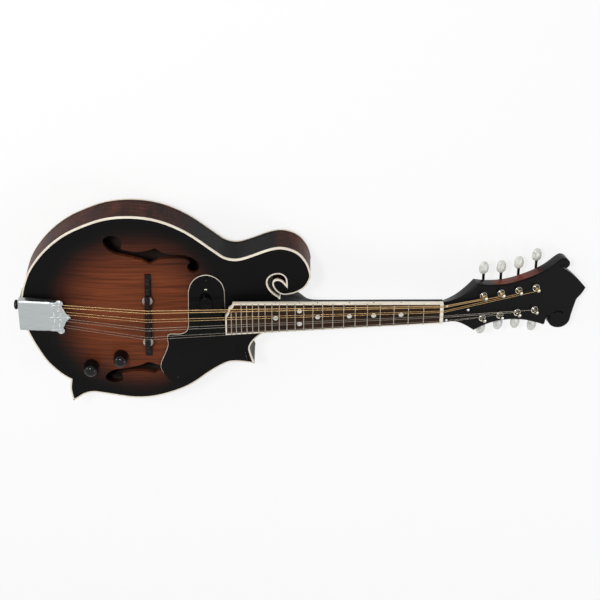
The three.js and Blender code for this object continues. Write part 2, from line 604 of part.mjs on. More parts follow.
function buildTail() {
  const bend = [
    [TAIL_X, -23.5], [TAIL_X, 7], [-126, 7], [-126, HOOK_TOP],
    [TAIL_X - TAIL_METAL, HOOK_TOP], [TAIL_X - TAIL_METAL, -23.5],
  ];
  let bracket = solid(sideSlab(bend, 18));
  STRINGS.forEach(string => {
    const y = tailY(string);
    bracket = bracket.add(solid(box(HOOK_X - 1, HOOK_X + 1, y - 0.7, y + 0.7, 7.5, 11)));
  });
  place('tailpiece_bracket', surface(tailDrilled(bracket)), nickel);

  const outside = [[-159.1, 2], [-159.1, 13], [-112, 16.8], [-112, 10]];
  const inside = [[-158.3, -2], [-158.3, 11.8], [-100, 16.5], [-100, -2]];
  const slope = Math.atan2(3.8, 47.1);
  const tip = joined(spline(COVER_TIP, 16), spline(mirrored(COVER_TIP), 16),
    [[-120, -20.4], [-120, -20.4]]);
  const leaf = slab(tip.slice().reverse(), -1.2, 0)
    .translate(112, 0, 0).rotateY(-slope).translate(-112, 0, 16.8);
  const cover = solid(sideSlab(outside, 20.5)).subtract(solid(sideSlab(inside, 19.3)))
    .add(solid(leaf));
  place('tailpiece_cover', surface(cover), chrome);

  const button = turned([
    [0, -9.6], [4, -9.6], [6.2, -7.4], [6, -5.2], [3.4, -3.6], [3.6, 0], [2.6, 0], [2.6, 34],
    [0, 34],
  ], 16).rotateY(Math.PI / 2);
  place('strap_button', button, chrome).position.set(TAIL_X - 1.1, 0, BUTTON_LEVEL);
  const jack = turned([
    [3.5, -4], [8, -4], [8.6, -3], [8.6, 0], [JACK_RADIUS, 0], [JACK_RADIUS, 40], [3.5, 40],
    [3.5, -4],
  ], 16).rotateY(Math.PI / 2);
  place('output_jack', jack, chrome).position.set(TAIL_X, 0, JACK_LEVEL);
}

// Tuners. The low posts carry the outer strings, the far posts the inner ones.
function postPlaces() {
  return STRINGS.map(({ name, course }, i) => {
    const bass = course > 0;
    const order = bass ? i : STRINGS.length - 1 - i;
    return { name, order, x: POST_FIRST + order * POST_STEP, y: bass ? POST_ROW : -POST_ROW };
  });
}

const BUTTON_START = [19.2, 17.1, 19.2, 26.5];   // inner end of each button beyond its post row
const TOOTH_PITCH = 2 * Math.PI * GEAR_PITCH_RADIUS / GEAR_TEETH;

function gearOutline() {
  const root = 3.5;
  const tip = 5;
  const points = [];
  for (let tooth = 0; tooth < GEAR_TEETH; tooth += 1) {
    const middle = tooth / GEAR_TEETH * 2 * Math.PI;
    [[root, -0.42], [tip, 0], [root, 0.42]].forEach(([radius, across]) => {
      const angle = middle + across / radius;
      points.push([radius * Math.cos(angle), radius * Math.sin(angle)]);
    });
  }
  return points;
}

function wormThread() {
  const turns = 2;
  const stepsPerTurn = 7;
  const rings = [];
  for (let step = 0; step <= turns * stepsPerTurn; step += 1) {
    const angle = (step / stepsPerTurn - turns / 2) * 2 * Math.PI;
    const along = TOOTH_PITCH * angle / (2 * Math.PI);
    rings.push([[1.2, -0.55], [3.1, 0], [1.2, 0.55]].map(([radius, across]) =>
      [radius * Math.cos(angle), along + across, radius * Math.sin(angle)]));
  }
  return loft(rings);
}

function buildTuners() {
  const gear = gearOutline();
  const thread = solid(wormThread());
  postPlaces().forEach(({ name, order, x, y }) => {
    const level = WORM_LEVEL;
    const stem = turned([
      [0, level - 2.4], [2.2, level - 2.4], [2.2, level + 2.4], [3, level + 2.4], [3, 9.5],
      [0, 9.5],
    ], 8);
    const wheel = slab(gear, level - 1.7, level + 1.7);
    const post = place(`string_post_${name}`, surface(solid(stem).add(solid(wheel))), nickel,
      headGroup);
    const side = Math.sign(y);
    post.position.set(x, y, 0);
    post.rotation.z = side > 0 ? 0 : Math.PI / GEAR_TEETH;

    const start = BUTTON_START[order];
    const shaft = solid(turned([
      [0, -6.2], [1.3, -6.2], [1.3, -3.6], [1.7, -3.6], [1.7, 3.6], [1.3, 3.6], [1.3, start],
      [4.6, start + 1.2], [6.3, start + 6.4], [5.9, start + 11.6], [3.4, start + 15.4],
      [0, start + 16.4],
    ], 8).rotateX(-Math.PI / 2));
    const key = surface(shaft.add(thread));
    flattenButton(key, start);
    const keyMesh = place(`tuner_key_${name}`, key, pearl, headGroup);
    keyMesh.position.set(x + WORM_OFFSET, y, level);
    keyMesh.rotation.z = side > 0 ? 0 : Math.PI;
  });
}

// The button is thinner through than across.
function flattenButton(geometry, start) {
  const position = geometry.attributes.position;
  for (let i = 0; i < position.count; i += 1) {
    if (position.getY(i) > start + 0.5) {
      position.setZ(i, position.getZ(i) * 0.55);
    }
  }
}

function buildTunerPlates() {
  const edges = { bass: 1, treble: -1 };
  Object.entries(edges).forEach(([name, side]) => {
    const across = (near, far) => side > 0 ? [near, far] : [-far, -near];
    const [y0, y1] = across(8.8, 22.6);
    const back = -HEAD_THICKNESS - GAP;
    let plate = solid(box(44, 138, y0, y1, back - 1.1, back));
    postPlaces().filter(({ y }) => y * side > 0).forEach(({ x, y }) => {
      plate = plate.subtract(solid(rod(3.6, -30, 5, x, y, 8)));
      [-5.4, 4.2].forEach(offset => {
        const [near, far] = across(POST_ROW + offset, POST_ROW + offset + 1.2);
        const worm = x + WORM_OFFSET;
        const lug = solid(box(worm - 3.2, worm + 3.2, near, far, WORM_LEVEL - 3, back - 0.5));
        const shaftHole = rod(2, near - 1, far + 1, 0, 0, 6).rotateX(Math.PI / 2);
        const lowered = shaftHole.translate(worm, near + far, WORM_LEVEL);
        plate = plate.add(lug).subtract(solid(lowered));
      });
    });
    place(`tuner_plate_${name}`, surface(plate), nickel, headGroup);
  });
}

// Strings: straight between hook, saddle, nut and post.
class BentLine extends THREE.Curve {
  constructor(points) {
    super();
    this.points = points;
  }

  getPoint(t, target = new THREE.Vector3()) {
    const scaled = t * (this.points.length - 1);
    const leg = Math.min(Math.floor(scaled), this.points.length - 2);
    return target.lerpVectors(this.points[leg], this.points[leg + 1], scaled - leg);
  }

  getUtoTmapping(u) {
    return u;
  }
}

function buildStrings() {
  const posts = postPlaces();
  const clear = 0.12;
  STRINGS.forEach((string, i) => {
    const { name, radius } = string;
    const nutY = courseY(string, 7.1, 2);
    const nutLevel = NUT_TOP + radius + clear;
    const post = posts[i];
    const inside = Math.sign(post.y) * (3 + radius + clear);
    const points = [
      new THREE.Vector3(HOOK_X + 1.4, tailY(string), HOOK_TOP + radius + 0.3),
      new THREE.Vector3(...onBridge(courseY(string, 12.5, 3.5)), SADDLE_TOP + radius + clear),
      new THREE.Vector3(-0.5, nutY, nutLevel).applyMatrix4(boardGroup.matrixWorld),
      new THREE.Vector3(NUT_LENGTH + 0.6, nutY, nutLevel).applyMatrix4(boardGroup.matrixWorld),
      new THREE.Vector3(post.x, post.y - inside, 2.8 + post.order * 0.7).applyMatrix4(headGroup.matrixWorld),
    ];
    const ring = Array.from({ length: 6 }, (_, side) => {
      const angle = side / 6 * 2 * Math.PI;
      return [radius * Math.cos(angle), radius * Math.sin(angle)];
    });
    const path = new BentLine(points);
    const geometry = new THREE.ExtrudeGeometry(toShape(ring), {
      steps: points.length - 1, bevelEnabled: false, extrudePath: path,
    });
    place(`string_${name}`, geometry, string.course > 0 ? bronze : nickel);
  });
}

buildPlates();
buildBindings();
buildRim();
buildToneBars();
buildNeck();
buildTrussRod();
buildFretboard();
buildPickguard();
buildControls();
buildBridge();
buildTail();
buildTunerPlates();
buildTuners();
buildStrings();

// The origin is the middle of the underside of the whole instrument.
const bounds = new THREE.Box3().setFromObject(group);
const middle = bounds.getCenter(new THREE.Vector3());
group.position.set(-middle.x, -middle.y, -bounds.min.z);

export default group;
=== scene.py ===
from math import asin, atan2, copysign, cos, exp, hypot, inf, pi, radians, sin, sqrt, tan
import bmesh
import bpy
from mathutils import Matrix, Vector
from mathutils.geometry import delaunay_2d_cdt


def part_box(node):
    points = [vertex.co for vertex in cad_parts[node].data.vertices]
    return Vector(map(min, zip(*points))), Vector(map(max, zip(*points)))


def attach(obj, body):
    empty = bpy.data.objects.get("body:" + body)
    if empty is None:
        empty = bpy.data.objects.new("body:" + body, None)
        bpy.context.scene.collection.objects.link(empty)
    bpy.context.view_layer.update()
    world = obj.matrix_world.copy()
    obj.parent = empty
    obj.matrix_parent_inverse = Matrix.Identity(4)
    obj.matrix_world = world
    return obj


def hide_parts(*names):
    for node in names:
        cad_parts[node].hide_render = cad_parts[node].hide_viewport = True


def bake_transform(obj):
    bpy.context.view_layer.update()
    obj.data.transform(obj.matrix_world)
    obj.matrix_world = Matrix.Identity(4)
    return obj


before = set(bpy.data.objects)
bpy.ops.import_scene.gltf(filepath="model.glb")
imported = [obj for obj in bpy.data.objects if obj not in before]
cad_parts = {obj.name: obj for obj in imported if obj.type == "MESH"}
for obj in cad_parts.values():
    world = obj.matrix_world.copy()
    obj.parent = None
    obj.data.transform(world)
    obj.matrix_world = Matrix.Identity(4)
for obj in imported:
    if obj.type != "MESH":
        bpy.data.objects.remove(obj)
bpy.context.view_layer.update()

# The camera looks down on the mandolin from its bass side while it lies on its back.
# Home is on the centre line, one scale length from the nut and level with the top of the rim.
# The bridge stands a little behind it. Lengths on the instrument are in millimetres from there.
SET_BACK = 1.5
base_low, base_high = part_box("bridge_base")
home = Vector(((base_low.x + base_high.x) / 2 + SET_BACK / 1000,
               (base_low.y + base_high.y) / 2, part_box("top_binding")[1].z))
scene = bpy.context.scene
camera = bpy.data.objects.new("camera", bpy.data.cameras.new("camera"))
camera.data.lens = 108.4
camera.location = home + Vector((0.1822, 1.1447, 1.8805))
camera.rotation_euler = (radians(-31), 0, 0)
scene.collection.objects.link(camera)
scene.camera = camera
scene.view_settings.view_transform = "Standard"

# The studio is a pale floor under a white sky, with one small bright lamp over the bass side and
# two wider, weaker ones, at the tail and beyond the head. The floor shows white and keeps the
# shadow.


def shade(code):
    """A colour from its six-figure code."""
    parts = [int(code[i:i + 2], 16) / 255 for i in (0, 2, 4)]
    return (*[c / 12.92 if c < 0.04045 else ((c + 0.055) / 1.055) ** 2.4 for c in parts], 1)


class Thread:
    """One socket in a material. Sums on it add Math nodes, and node() adds any other node."""

    def __init__(self, tree, socket=None):
        self.tree, self.socket = tree, socket

    def node(self, kind, settings={}, links={}, out=0):
        made = self.tree.nodes.new(kind)
        for key, value in settings.items():
            if key == "stops":
                ramp = made.color_ramp.elements
                for _ in value[2:]:
                    ramp.new(1)
                for stop, (place, colour) in zip(ramp, value):
                    stop.position, stop.color = place, colour
            else:
                setattr(made, key, value)
        for key, value in links.items():
            if isinstance(value, Thread):
                self.tree.links.new(value.socket, made.inputs[key])
            else:
                made.inputs[key].default_value = value
        return Thread(self.tree, made.outputs[out])

    def also(self, out):
        return Thread(self.tree, self.socket.node.outputs[out])

    def sum(self, operation, a, b=0.0):
        return self.node("ShaderNodeMath", {"operation": operation}, {0: a, 1: b})

    def __add__(self, other):
        return self.sum("ADD", self, other)

    __radd__ = __add__

    def __mul__(self, other):
        return self.sum("MULTIPLY", self, other)

    __rmul__ = __mul__

    def __sub__(self, other):
        return self.sum("SUBTRACT", self, other)

    def __rsub__(self, other):
        return self.sum("SUBTRACT", other, self)

    def __truediv__(self, other):
        return self.sum("DIVIDE", self, other)

    def __pow__(self, other):
        return self.sum("POWER", self, other)

    def stretch(self, *scales):
        """A vector with its X, Y and Z multiplied."""
        return self.node("ShaderNodeVectorMath", {"operation": "MULTIPLY"}, {0: self, 1: scales})

    def rise(self, low, high):
        """Nought at low, one at high, and smooth between."""
        return self.node("ShaderNodeMapRange", {"interpolation_type": "SMOOTHSTEP"},
                         {"Value": self, "From Min": low, "From Max": high})

    def mix(self, *colours):
        """The first colour where this is nought, and the second where it is one."""
        a, b = [shade(colour) if isinstance(colour, str) else colour for colour in colours]
        return self.node("ShaderNodeMix", {"data_type": "RGBA"}, {0: self, 6: a, 7: b}, out=2)

    def ramp(self, *stops):
        """A colour for each value, from stops that each have a value and a colour code."""
        stops = [(value, shade(code)) for value, code in stops]
        return self.node("ShaderNodeValToRGB", {"stops": stops}, {"Fac": self})

    def where(self):
        """The place on the instrument, in metres."""
        return self.node("ShaderNodeTexCoord", out="Object")

    def part(self, axis):
        """One coordinate of a place."""
        return self.node("ShaderNodeSeparateXYZ", links={"Vector": self}, out=axis)

    def noise(self, detail, roughness=0.5, scale=1.0, distortion=0.0):
        """Noise over this vector."""
        return self.node("ShaderNodeTexNoise", links={
            "Vector": self, "Scale": scale, "Detail": detail, "Roughness": roughness,
            "Distortion": distortion})

    def bump(self, strength, distance):
        """The normal of a surface that is raised by this."""
        return self.node("ShaderNodeBump", links={
            "Strength": strength, "Distance": distance, "Height": self})


def finish(name, paint):
    """A material. paint() is given its first thread and gives back the shader's sockets."""
    material = bpy.data.materials.new(name)
    material.use_nodes = True
    tree = material.node_tree
    shader = tree.nodes["Principled BSDF"]
    for key, value in paint(Thread(tree)).items():
        if isinstance(value, Thread):
            tree.links.new(value.socket, shader.inputs[key])
        else:
            shader.inputs[key].default_value = value
    return material


def seen(light):
    """One where the floor or the sky is looked at, in a mirror too, and nought for its light."""
    path = light.node("ShaderNodeLightPath", out="Is Camera Ray")
    mirrored = path.sum("MAXIMUM", path.also("Is Glossy Ray"), path.also("Is Transmission Ray"))
    return path.sum("MAXIMUM", path, mirrored)


floor_finish = bpy.data.materials.new("floor")
floor_finish.use_nodes = True
pale = Thread(floor_finish.node_tree)
floor_finish.node_tree.nodes.remove(floor_finish.node_tree.nodes["Principled BSDF"])
card = pale.node("ShaderNodeBsdfDiffuse", links={"Color": (0.9, 0.9, 0.9, 1)})
glow = pale.node("ShaderNodeEmission", links={"Color": (1, 1, 1, 1), "Strength": 1.0})
both = pale.node("ShaderNodeMixShader", links={0: seen(pale) * 0.8, 1: card, 2: glow})
pale.tree.links.new(both.socket, pale.tree.nodes["Material Output"].inputs["Surface"])
floor = bpy.data.objects.new("floor", bpy.data.meshes.new("floor"))
floor.data.from_pydata([(x, y, -0.0003) for x, y in ((-5, -5), (5, -5), (5, 5), (-5, 5))], [],
                       [(0, 1, 2, 3)])
floor.data.materials.append(floor_finish)
scene.collection.objects.link(floor)

sky = bpy.data.worlds.new("sky")
sky.use_nodes = True
scene.world = sky
air = Thread(sky.node_tree)
dim = air.node("ShaderNodeBackground", links={"Color": (1, 1, 1, 1), "Strength": 0.42})
white = air.node("ShaderNodeBackground", links={"Color": (1, 1, 1, 1), "Strength": 1.0})
both = air.node("ShaderNodeMixShader", links={0: seen(air), 1: dim, 2: white})
air.tree.links.new(both.socket, air.tree.nodes["World Output"].inputs["Surface"])

for name, spot, size, power in (
        ("lamp_over", (-0.25, 0.95, 1.55), 0.25, 17),
        ("lamp_tail", (-1.5, 0.6, 0.7), 0.7, 7),
        ("lamp_head", (1.6, -0.5, 1.2), 0.8, 7)):
    lamp = bpy.data.objects.new(name, bpy.data.lights.new(name, "AREA"))
    lamp.data.shape, lamp.data.size, lamp.data.energy = "SQUARE", size, power
    lamp.location = home + Vector(spot)
    lamp.rotation_mode = "QUATERNION"
    lamp.rotation_quaternion = (home - lamp.location).to_track_quat("-Z", "Y")
    scene.collection.objects.link(lamp)

# The ribs are two strips of maple, 2.2 mm thick, bent over heat to the outline of the body and
# glued to the blocks inside. They are stained red brown and shaded to black at the waist.
BASS_SIDE = [
    (-157, 0), (-156.2, 18.5), (-151.4, 38), (-143.2, 57.5), (-127.6, 79.5), (-108.4, 98),
    (-86, 112.2), (-52, 125.6), (-18.6, 128.9), (14.3, 123.6), (46.9, 108.1), (79.5, 82.7),
    (91.5, 73.9), (104.4, 71), (118, 74.1), (146.4, 85.2), (163.1, 86.8), (179.8, 80.1),
    (190.6, 65.9), (195.2, 49.9), (193.4, 41.1), (187.9, 31.8), (179.2, 25.7), (170.1, 22.5),
    (161.6, 21.9), (154.9, 25.4), (150.5, 31), (148.7, 36.7), (149.9, 41.3), (153.6, 43.5),
    (158.1, 43), (162, 40.4), (165.5, 36)]
SCROLL_SLOT = [
    (165.5, 36), (164.9, 43.6), (161.7, 48.4), (156.9, 50.5), (150.9, 49.7), (146, 46.7),
    (143.2, 41.6), (143.4, 35.3), (146.6, 28.6), (151.3, 23.4), (157.9, 18.6)]
CUTAWAY = [
    (157.9, -18.6), (149.2, -23.4), (136.8, -32.8), (127.2, -41.2), (121.2, -50.5),
    (120.3, -57.2), (123.2, -68.7), (126.3, -77.4)]
TREBLE_SIDE = [
    (126.3, -77.4), (113.3, -75.4), (103, -74.6), (91.7, -76.4), (74.1, -87.1),
    (43.1, -110.7), (8, -124.9), (-23.3, -128.5), (-60.4, -122.6), (-76, -120.3),
    (-86.5, -122.7), (-95.4, -128.5), (-102.4, -133.3)]
POINT_BACK = [(-102.4, -133.3), (-105.2, -115), (-103.6, -101.2)]
TREBLE_TAIL = [
    (-103.6, -101.2), (-115.4, -92.6), (-130.2, -76.2), (-140.8, -57.2), (-149.6, -36.8),
    (-155.4, -17.4), (-157, 0)]


def through(points, steps=4):
    """A smooth line through points, with steps places in each span."""
    line = []
    for i in range(len(points) - 1):
        a, b, c, d = [Vector(points[min(max(i + k, 0), len(points) - 1)]) for k in (-1, 0, 1, 2)]
        if i == 0:
            a = b
        for k in range(steps):
            t = k / steps
            out, back = (c - a) / 2, (d - b) / 2
            line.append((2 * b - 2 * c + out + back) * t ** 3
                        + (3 * c - 3 * b - 2 * out - back) * t ** 2 + out * t + b)
    return [tuple(point) for point in line] + [tuple(points[-1])]


def inset(path, distance, closed=False):
    """A path moved to its right, with mitred corners."""
    moved = []
    for i, point in enumerate(path):
        before = path[i - 1] if i or closed else point
        after = path[(i + 1) % len(path)] if i < len(path) - 1 or closed else point
        steps = [Vector(point[:2]) - Vector(before[:2]), Vector(after[:2]) - Vector(point[:2])]
        steps = [step.normalized() for step in steps if step.length > 1e-6]
        across = (steps[0] + steps[-1]).normalized()
        across = Vector((across.y, -across.x))
        spread = max(0.35, across.x * steps[0].y - across.y * steps[0].x)
        moved.append((point[0] + across.x * distance / spread,
                      point[1] + across.y * distance / spread))
    return moved


def loft(rings, closed=False):
    """A shape through rings of points, closed by flat ends or joined up with itself."""
    count, turns = len(rings[0]), len(rings)
    faces = []
    for r in range(turns if closed else turns - 1):
        a, b = r * count, (r + 1) % turns * count
        faces += [(a + i, a + (i + 1) % count, b + (i + 1) % count, b + i)
                  for i in range(count)]
    if not closed:
        last = (turns - 1) * count
        faces += [tuple(range(count)), tuple(last + i for i in reversed(range(count)))]
    return [point for ring in rings for point in ring], faces


def band(path, section):
    """A strip along a path, from the (inset, height) points round its section."""
    lines = [[(x, y, z) for x, y in inset(path, depth)] for depth, z in section]
    return loft(list(zip(*lines)))


def at(x, y, z):
    return home + Vector((x, y, z)) / 1000


def piece(name, shape, material, body="instrument", place=at, bend=35, soften=0,
          replaces=()):
    """A mesh piece of the instrument, on its body. Edges that turn by more than bend degrees are
    sharp, or rounded over soften millimetres."""
    points, faces = shape
    mesh = bpy.data.meshes.new(name)
    mesh.from_pydata([place(*point) for point in points], [], faces)
    work = bmesh.new()
    work.from_mesh(mesh)
    bmesh.ops.recalc_face_normals(work, faces=work.faces)
    work.to_mesh(mesh)
    work.free()
    mesh.shade_smooth()
    mesh.materials.append(material)
    thing = bpy.data.objects.new(name, mesh)
    scene.collection.objects.link(thing)
    if soften:
        edge = thing.modifiers.new("soften", "BEVEL")
        edge.width, edge.segments = soften / 1000, 2
        edge.limit_method, edge.angle_limit = "ANGLE", radians(bend)
        edge.harden_normals = True
    else:
        mesh.set_sharp_from_angle(angle=radians(bend))
    if body:
        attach(thing, body)
    if replaces:
        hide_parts(*replaces)
    return thing


def stained(wood):
    spot = wood.where()
    flame = spot.stretch(55, 9, 16).noise(3, 0.6)
    grain = spot.stretch(14, 420, 520).noise(4, 0.6)
    figure = grain * 0.55 + flame * 0.45
    brown = figure.ramp((0.36, "180a07"), (0.47, "2f140d"), (0.56, "482113"), (0.66, "63321b"))
    along = spot.part("X") - home.x
    black = along.rise(0.022, 0.062) * along.rise(0.168, 0.146)
    return {"Base Color": black.mix(brown, "0b0a0a"), "Roughness": 0.3 + grain * 0.18,
            "Specular IOR Level": 0.06, "Normal": grain.bump(0.35, 0.0003)}


stained_wood = finish("stained_wood", stained)
bass_line = through(BASS_SIDE)[:-1] + through(SCROLL_SLOT)
treble_line = (through(CUTAWAY)[:-1] + through(TREBLE_SIDE)[:-1] + through(POINT_BACK)[:-1]
               + through(TREBLE_TAIL))
RIB = [(0.4, -41.3), (0.4, -6.7), (2.6, -6.7), (2.6, -41.3)]
piece("bass_side_rib", band(bass_line, RIB), stained_wood, replaces=["bass_rib"])
piece("treble_side_rib", band(treble_line, RIB), stained_wood, replaces=["treble_rib"])

# The back is one plate of the same maple, carved to an arch inside and out and glued to the
# rim all round. Its outside is stained and its inside is left bare.
RIM_DEPTH = 48                  # over the two plates' edges
PLATE_EDGE = 6.4                # how thick both plates are there
BACK_ARCH, BACK_HOLLOW = 14.5, 12.4
CREST, TO_SIDE = -25, 118       # the arching's highest place, and how far it falls from there
TO_HEAD, TO_TAIL = (175, 1.7), (118, 2)      # how far, and the power of its outline
body_line = bass_line + treble_line[:-1]


def gap(point, path, closed=True):
    """How far a point lies from a path."""
    x, y = point
    nearest = inf
    for i in range(0 if closed else 1, len(path)):
        ax, ay = path[i - 1]
        dx, dy = path[i][0] - ax, path[i][1] - ay
        t = max(0, min(1, ((x - ax) * dx + (y - ay) * dy) / (dx * dx + dy * dy + 1e-12)))
        nearest = min(nearest, hypot(x - ax - t * dx, y - ay - t * dy))
    return nearest


def within(point, path):
    x, y = point
    inside = False
    for i, (bx, by) in enumerate(path):
        ax, ay = path[i - 1]
        if (ay > y) != (by > y) and x < (bx - ax) * (y - ay) / (by - ay) + ax:
            inside = not inside
    return inside


def plate(outline, upper, lower, holes=(), spacing=4.5, extra=()):
    """A plate over an outline, between two faces given by functions of x and y."""
    rings = [list(outline), *[list(hole) for hole in holes]]
    flat, edges = [], []
    for ring in rings:
        first = len(flat)
        flat += ring
        edges += [(first + i, first + (i + 1) % len(ring)) for i in range(len(ring))]
    low = [min(p[k] for p in outline) for k in (0, 1)]
    high = [max(p[k] for p in outline) for k in (0, 1)]
    spots = [(low[0] + (i + 0.5 + 0.5 * (j % 2)) * spacing, low[1] + (j + 0.5) * spacing)
             for i in range(int((high[0] - low[0]) / spacing) + 1)
             for j in range(int((high[1] - low[1]) / spacing) + 1)]
    crowded = {(round(x / spacing), round(y / spacing)) for x, y in extra}
    spots = [p for p in spots if (round(p[0] / spacing), round(p[1] / spacing)) not in crowded]
    for spot in spots:
        if within(spot, outline) and not any(within(spot, hole) for hole in holes) \
                and all(gap(spot, ring) > spacing * 0.4 for ring in rings):
            flat.append(spot)
    flat += [p for p in extra if within(p, outline) and gap(p, outline) > 0.1]
    made = delaunay_2d_cdt([Vector(p) for p in flat], edges, [], 0, 1e-5)
    spots, triangles = made[0], []
    for face in made[2]:
        middle = sum((spots[k] for k in face), Vector((0, 0))) / len(face)
        if within(middle, outline) and not any(within(middle, hole) for hole in holes):
            triangles.append(tuple(face))
    used = sorted({k for face in triangles for k in face})
    new = {k: i for i, k in enumerate(used)}
    triangles = [tuple(new[k] for k in face) for face in triangles]
    spots = [(spots[k].x, spots[k].y) for k in used]
    points = [(x, y, upper(x, y)) for x, y in spots] + [(x, y, lower(x, y)) for x, y in spots]
    directed = {(f[i], f[(i + 1) % 3]) for f in triangles for i in range(3)}
    walls = [(b, a, a + len(spots), b + len(spots)) for a, b in directed
             if (b, a) not in directed]
    under = [tuple(k + len(spots) for k in reversed(f)) for f in triangles]
    return points, triangles + under + walls


def rise(x, y):
    """Share of the arching's full height over a place on the body."""
    run, power = TO_HEAD if x > CREST else TO_TAIL
    out = ((abs(x - CREST) / run) ** power + (abs(y) / TO_SIDE) ** power) ** (1 / power)
    return (1 - max(out, 0.12) ** 2) ** 1.5 if out < 1 else 0.0


def bare(wood):
    grain = wood.where().stretch(10, 380, 120).noise(4, 0.55)
    return {"Base Color": grain.mix("1d120b", "2e1d12"), "Roughness": 0.72 + grain * 0.15,
            "Normal": grain.bump(0.4, 0.0003)}


def line_with(thing, material, up):
    """Gives the faces that look up, or down, another finish."""
    thing.data.materials.append(material)
    for face in thing.data.polygons:
        if face.normal.z * up > 0.5:
            face.material_index = 1


bare_wood = finish("bare_wood", bare)
plate_line = [p for p in inset(body_line, 2.3, True) if gap(p, body_line) > 2.2]
back = plate(plate_line, lambda x, y: PLATE_EDGE - RIM_DEPTH - BACK_HOLLOW * rise(x, y),
             lambda x, y: -RIM_DEPTH - BACK_ARCH * rise(x, y))
back = piece("carved_back", back, stained_wood, soften=0.5, replaces=["back_plate"])
line_with(back, bare_wood, 1)

# Inside the body, kerfed spruce linings widen the glue joint between ribs and plates, mahogany
# blocks fill the neck end, the tail and the lower point, and two tone bars stiffen the top.
def dress(material, *names):
    """Gives a finish to pieces that keep their plain meshes."""
    for name in names:
        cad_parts[name].data.materials.clear()
        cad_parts[name].data.materials.append(material)


dress(bare_wood, "top_lining", "back_lining", "head_block", "tail_block", "lower_point_block",
      "bass_tone_bar", "treble_tone_bar")

# The soundboard is carved spruce with two f-holes. Its matte finish is red brown round the
# bridge, with fine dark grain along the strings, and shades to black at the edge, over the
# whole upper part of the body and on the scroll.
F_HOLE = [
    [(-31.5, 88.3), (-30.7, 96.2), (-32.5, 101.3), (-39, 104), (-47, 103.7), (-52.4, 99.3),
     (-52, 93.3), (-46.6, 86.5), (-38.4, 82), (-25.3, 79.1), (-9, 74.8), (1.5, 69.5)],
    [(1.5, 69.5), (7.8, 71.1), (15, 74.6), (30, 75.8), (43, 74.6), (50.6, 69.6)],
    [(50.6, 69.6), (47.1, 65.7), (47.4, 60.7), (51.5, 56.8), (57.5, 56.8), (61.7, 62),
     (60.5, 68.3), (54.2, 74.4), (44, 78.8), (27, 80.9), (17.6, 83.7), (9.4, 89)],
    [(9.4, 89), (1.1, 86.3), (-12, 84.7), (-24, 86.4), (-31.5, 88.3)]]
POTS = [("volume", -75.4, -75.6, 6), ("tone", -37.6, -58, 12)]   # with x, y and knob level
TOP_ARCH, TOP_HOLLOW = 16.5, 18.4
TREBLE_SET_BACK = 7.2           # of the treble f-hole, towards the tail
BURST_MIDDLE, BURST_REACH = (-0.016, -0.003), (0.113, 0.12)      # in metres


def polar(radius, turn, x=0, y=0):
    """The place that lies so far from x, y in a direction."""
    return x + radius * cos(turn), y + radius * sin(turn)


def circle(x, y, radius, sides=24):
    return [polar(radius, 2 * pi * k / sides, x, y) for k in range(sides)]


def sunburst(wood):
    spot = wood.where()
    cloud = spot.stretch(9, 14, 1).noise(2, 0.5)
    fine = spot.stretch(12, 900, 40).noise(3, 0.65)
    wide = spot.stretch(9, 330, 30).noise(4, 0.6)
    u = (spot.part("X") - (home.x + BURST_MIDDLE[0])) / BURST_REACH[0]
    v = (spot.part("Y") - (home.y + BURST_MIDDLE[1])) / BURST_REACH[1]
    out = (u * u + v * v) ** 0.5 + (cloud - 0.5) * 0.1
    burst = out.ramp((0, "7a4128"), (0.5, "743b23"), (0.68, "60301d"), (0.82, "3a1d14"),
                     (0.93, "180f0d"), (1, "0c0b0b"))
    dark = out.ramp((0, "4f2818"), (0.5, "4a2516"), (0.68, "3b1d12"), (0.82, "26130e"),
                    (0.93, "110c0b"), (1, "090909"))
    lines = (fine * 0.45 + wide * 0.55).rise(0.34, 0.6)
    return {"Base Color": lines.mix(dark, burst), "Roughness": 0.42 + fine * 0.16,
            "Specular IOR Level": 0.07, "Normal": fine.bump(0.3, 0.00025)}


def over_top(x, y, height=0):
    """A height over the arched face of the soundboard, at a place on it."""
    return TOP_ARCH * rise(x, y) + height


sunburst_top = finish("sunburst_top", sunburst)
f_hole = [p for stretch in F_HOLE for p in through(stretch, 3)[:-1]]
holes = [f_hole, [(x - TREBLE_SET_BACK, -y) for x, y in reversed(f_hole)]]
holes += [circle(x, y, 3.6, 16) for _, x, y, _ in POTS]
top = plate(plate_line, over_top, lambda x, y: TOP_HOLLOW * rise(x, y) - PLATE_EDGE, holes)
top = piece("carved_top", top, sunburst_top, soften=0.4, replaces=["soundboard"])
line_with(top, bare_wood, -1)

# The bindings are strips of ivory-grained plastic let into the outer corners of the body, top
# and back. They protect the edge, and are scraped flush and slightly rounded. The stained
# edges of the two plates show between them and the ribs.
BINDING_DEPTH, BINDING_WIDTH = 2.8, 1.9


def ivory(plastic):
    wave = plastic.where().stretch(30, 260, 260).noise(3, 0.5)
    return {"Base Color": wave.rise(0.3, 0.7).mix("dbcfbd", "ebe1d1"),
            "Roughness": 0.3 + wave * 0.15, "Coat Weight": 0.2, "Coat Roughness": 0.2}


ivoroid = finish("ivoroid", ivory)
ring_line = treble_line[:-1] + bass_line
for name, node, flip in (("top_edge_binding", "top_binding", 1),
                         ("back_edge_binding", "back_binding", -1)):
    outer = 0 if flip > 0 else -RIM_DEPTH
    inner = outer - BINDING_DEPTH * flip
    section = [(0, inner), (0, outer - 0.6 * flip), (0.2, outer - 0.2 * flip), (0.6, outer),
               (BINDING_WIDTH, outer), (BINDING_WIDTH, inner)]
    piece(name, band(ring_line, section), ivoroid, replaces=[node])
    edge = [(inward, outer - drop * flip) for inward, drop in (
        (0.3, 6.65), (0.3, 2.85), (2.2, 2.85), (2.2, 6.65))]
    piece(name.replace("binding", "of_plate"), band(ring_line, edge), stained_wood)

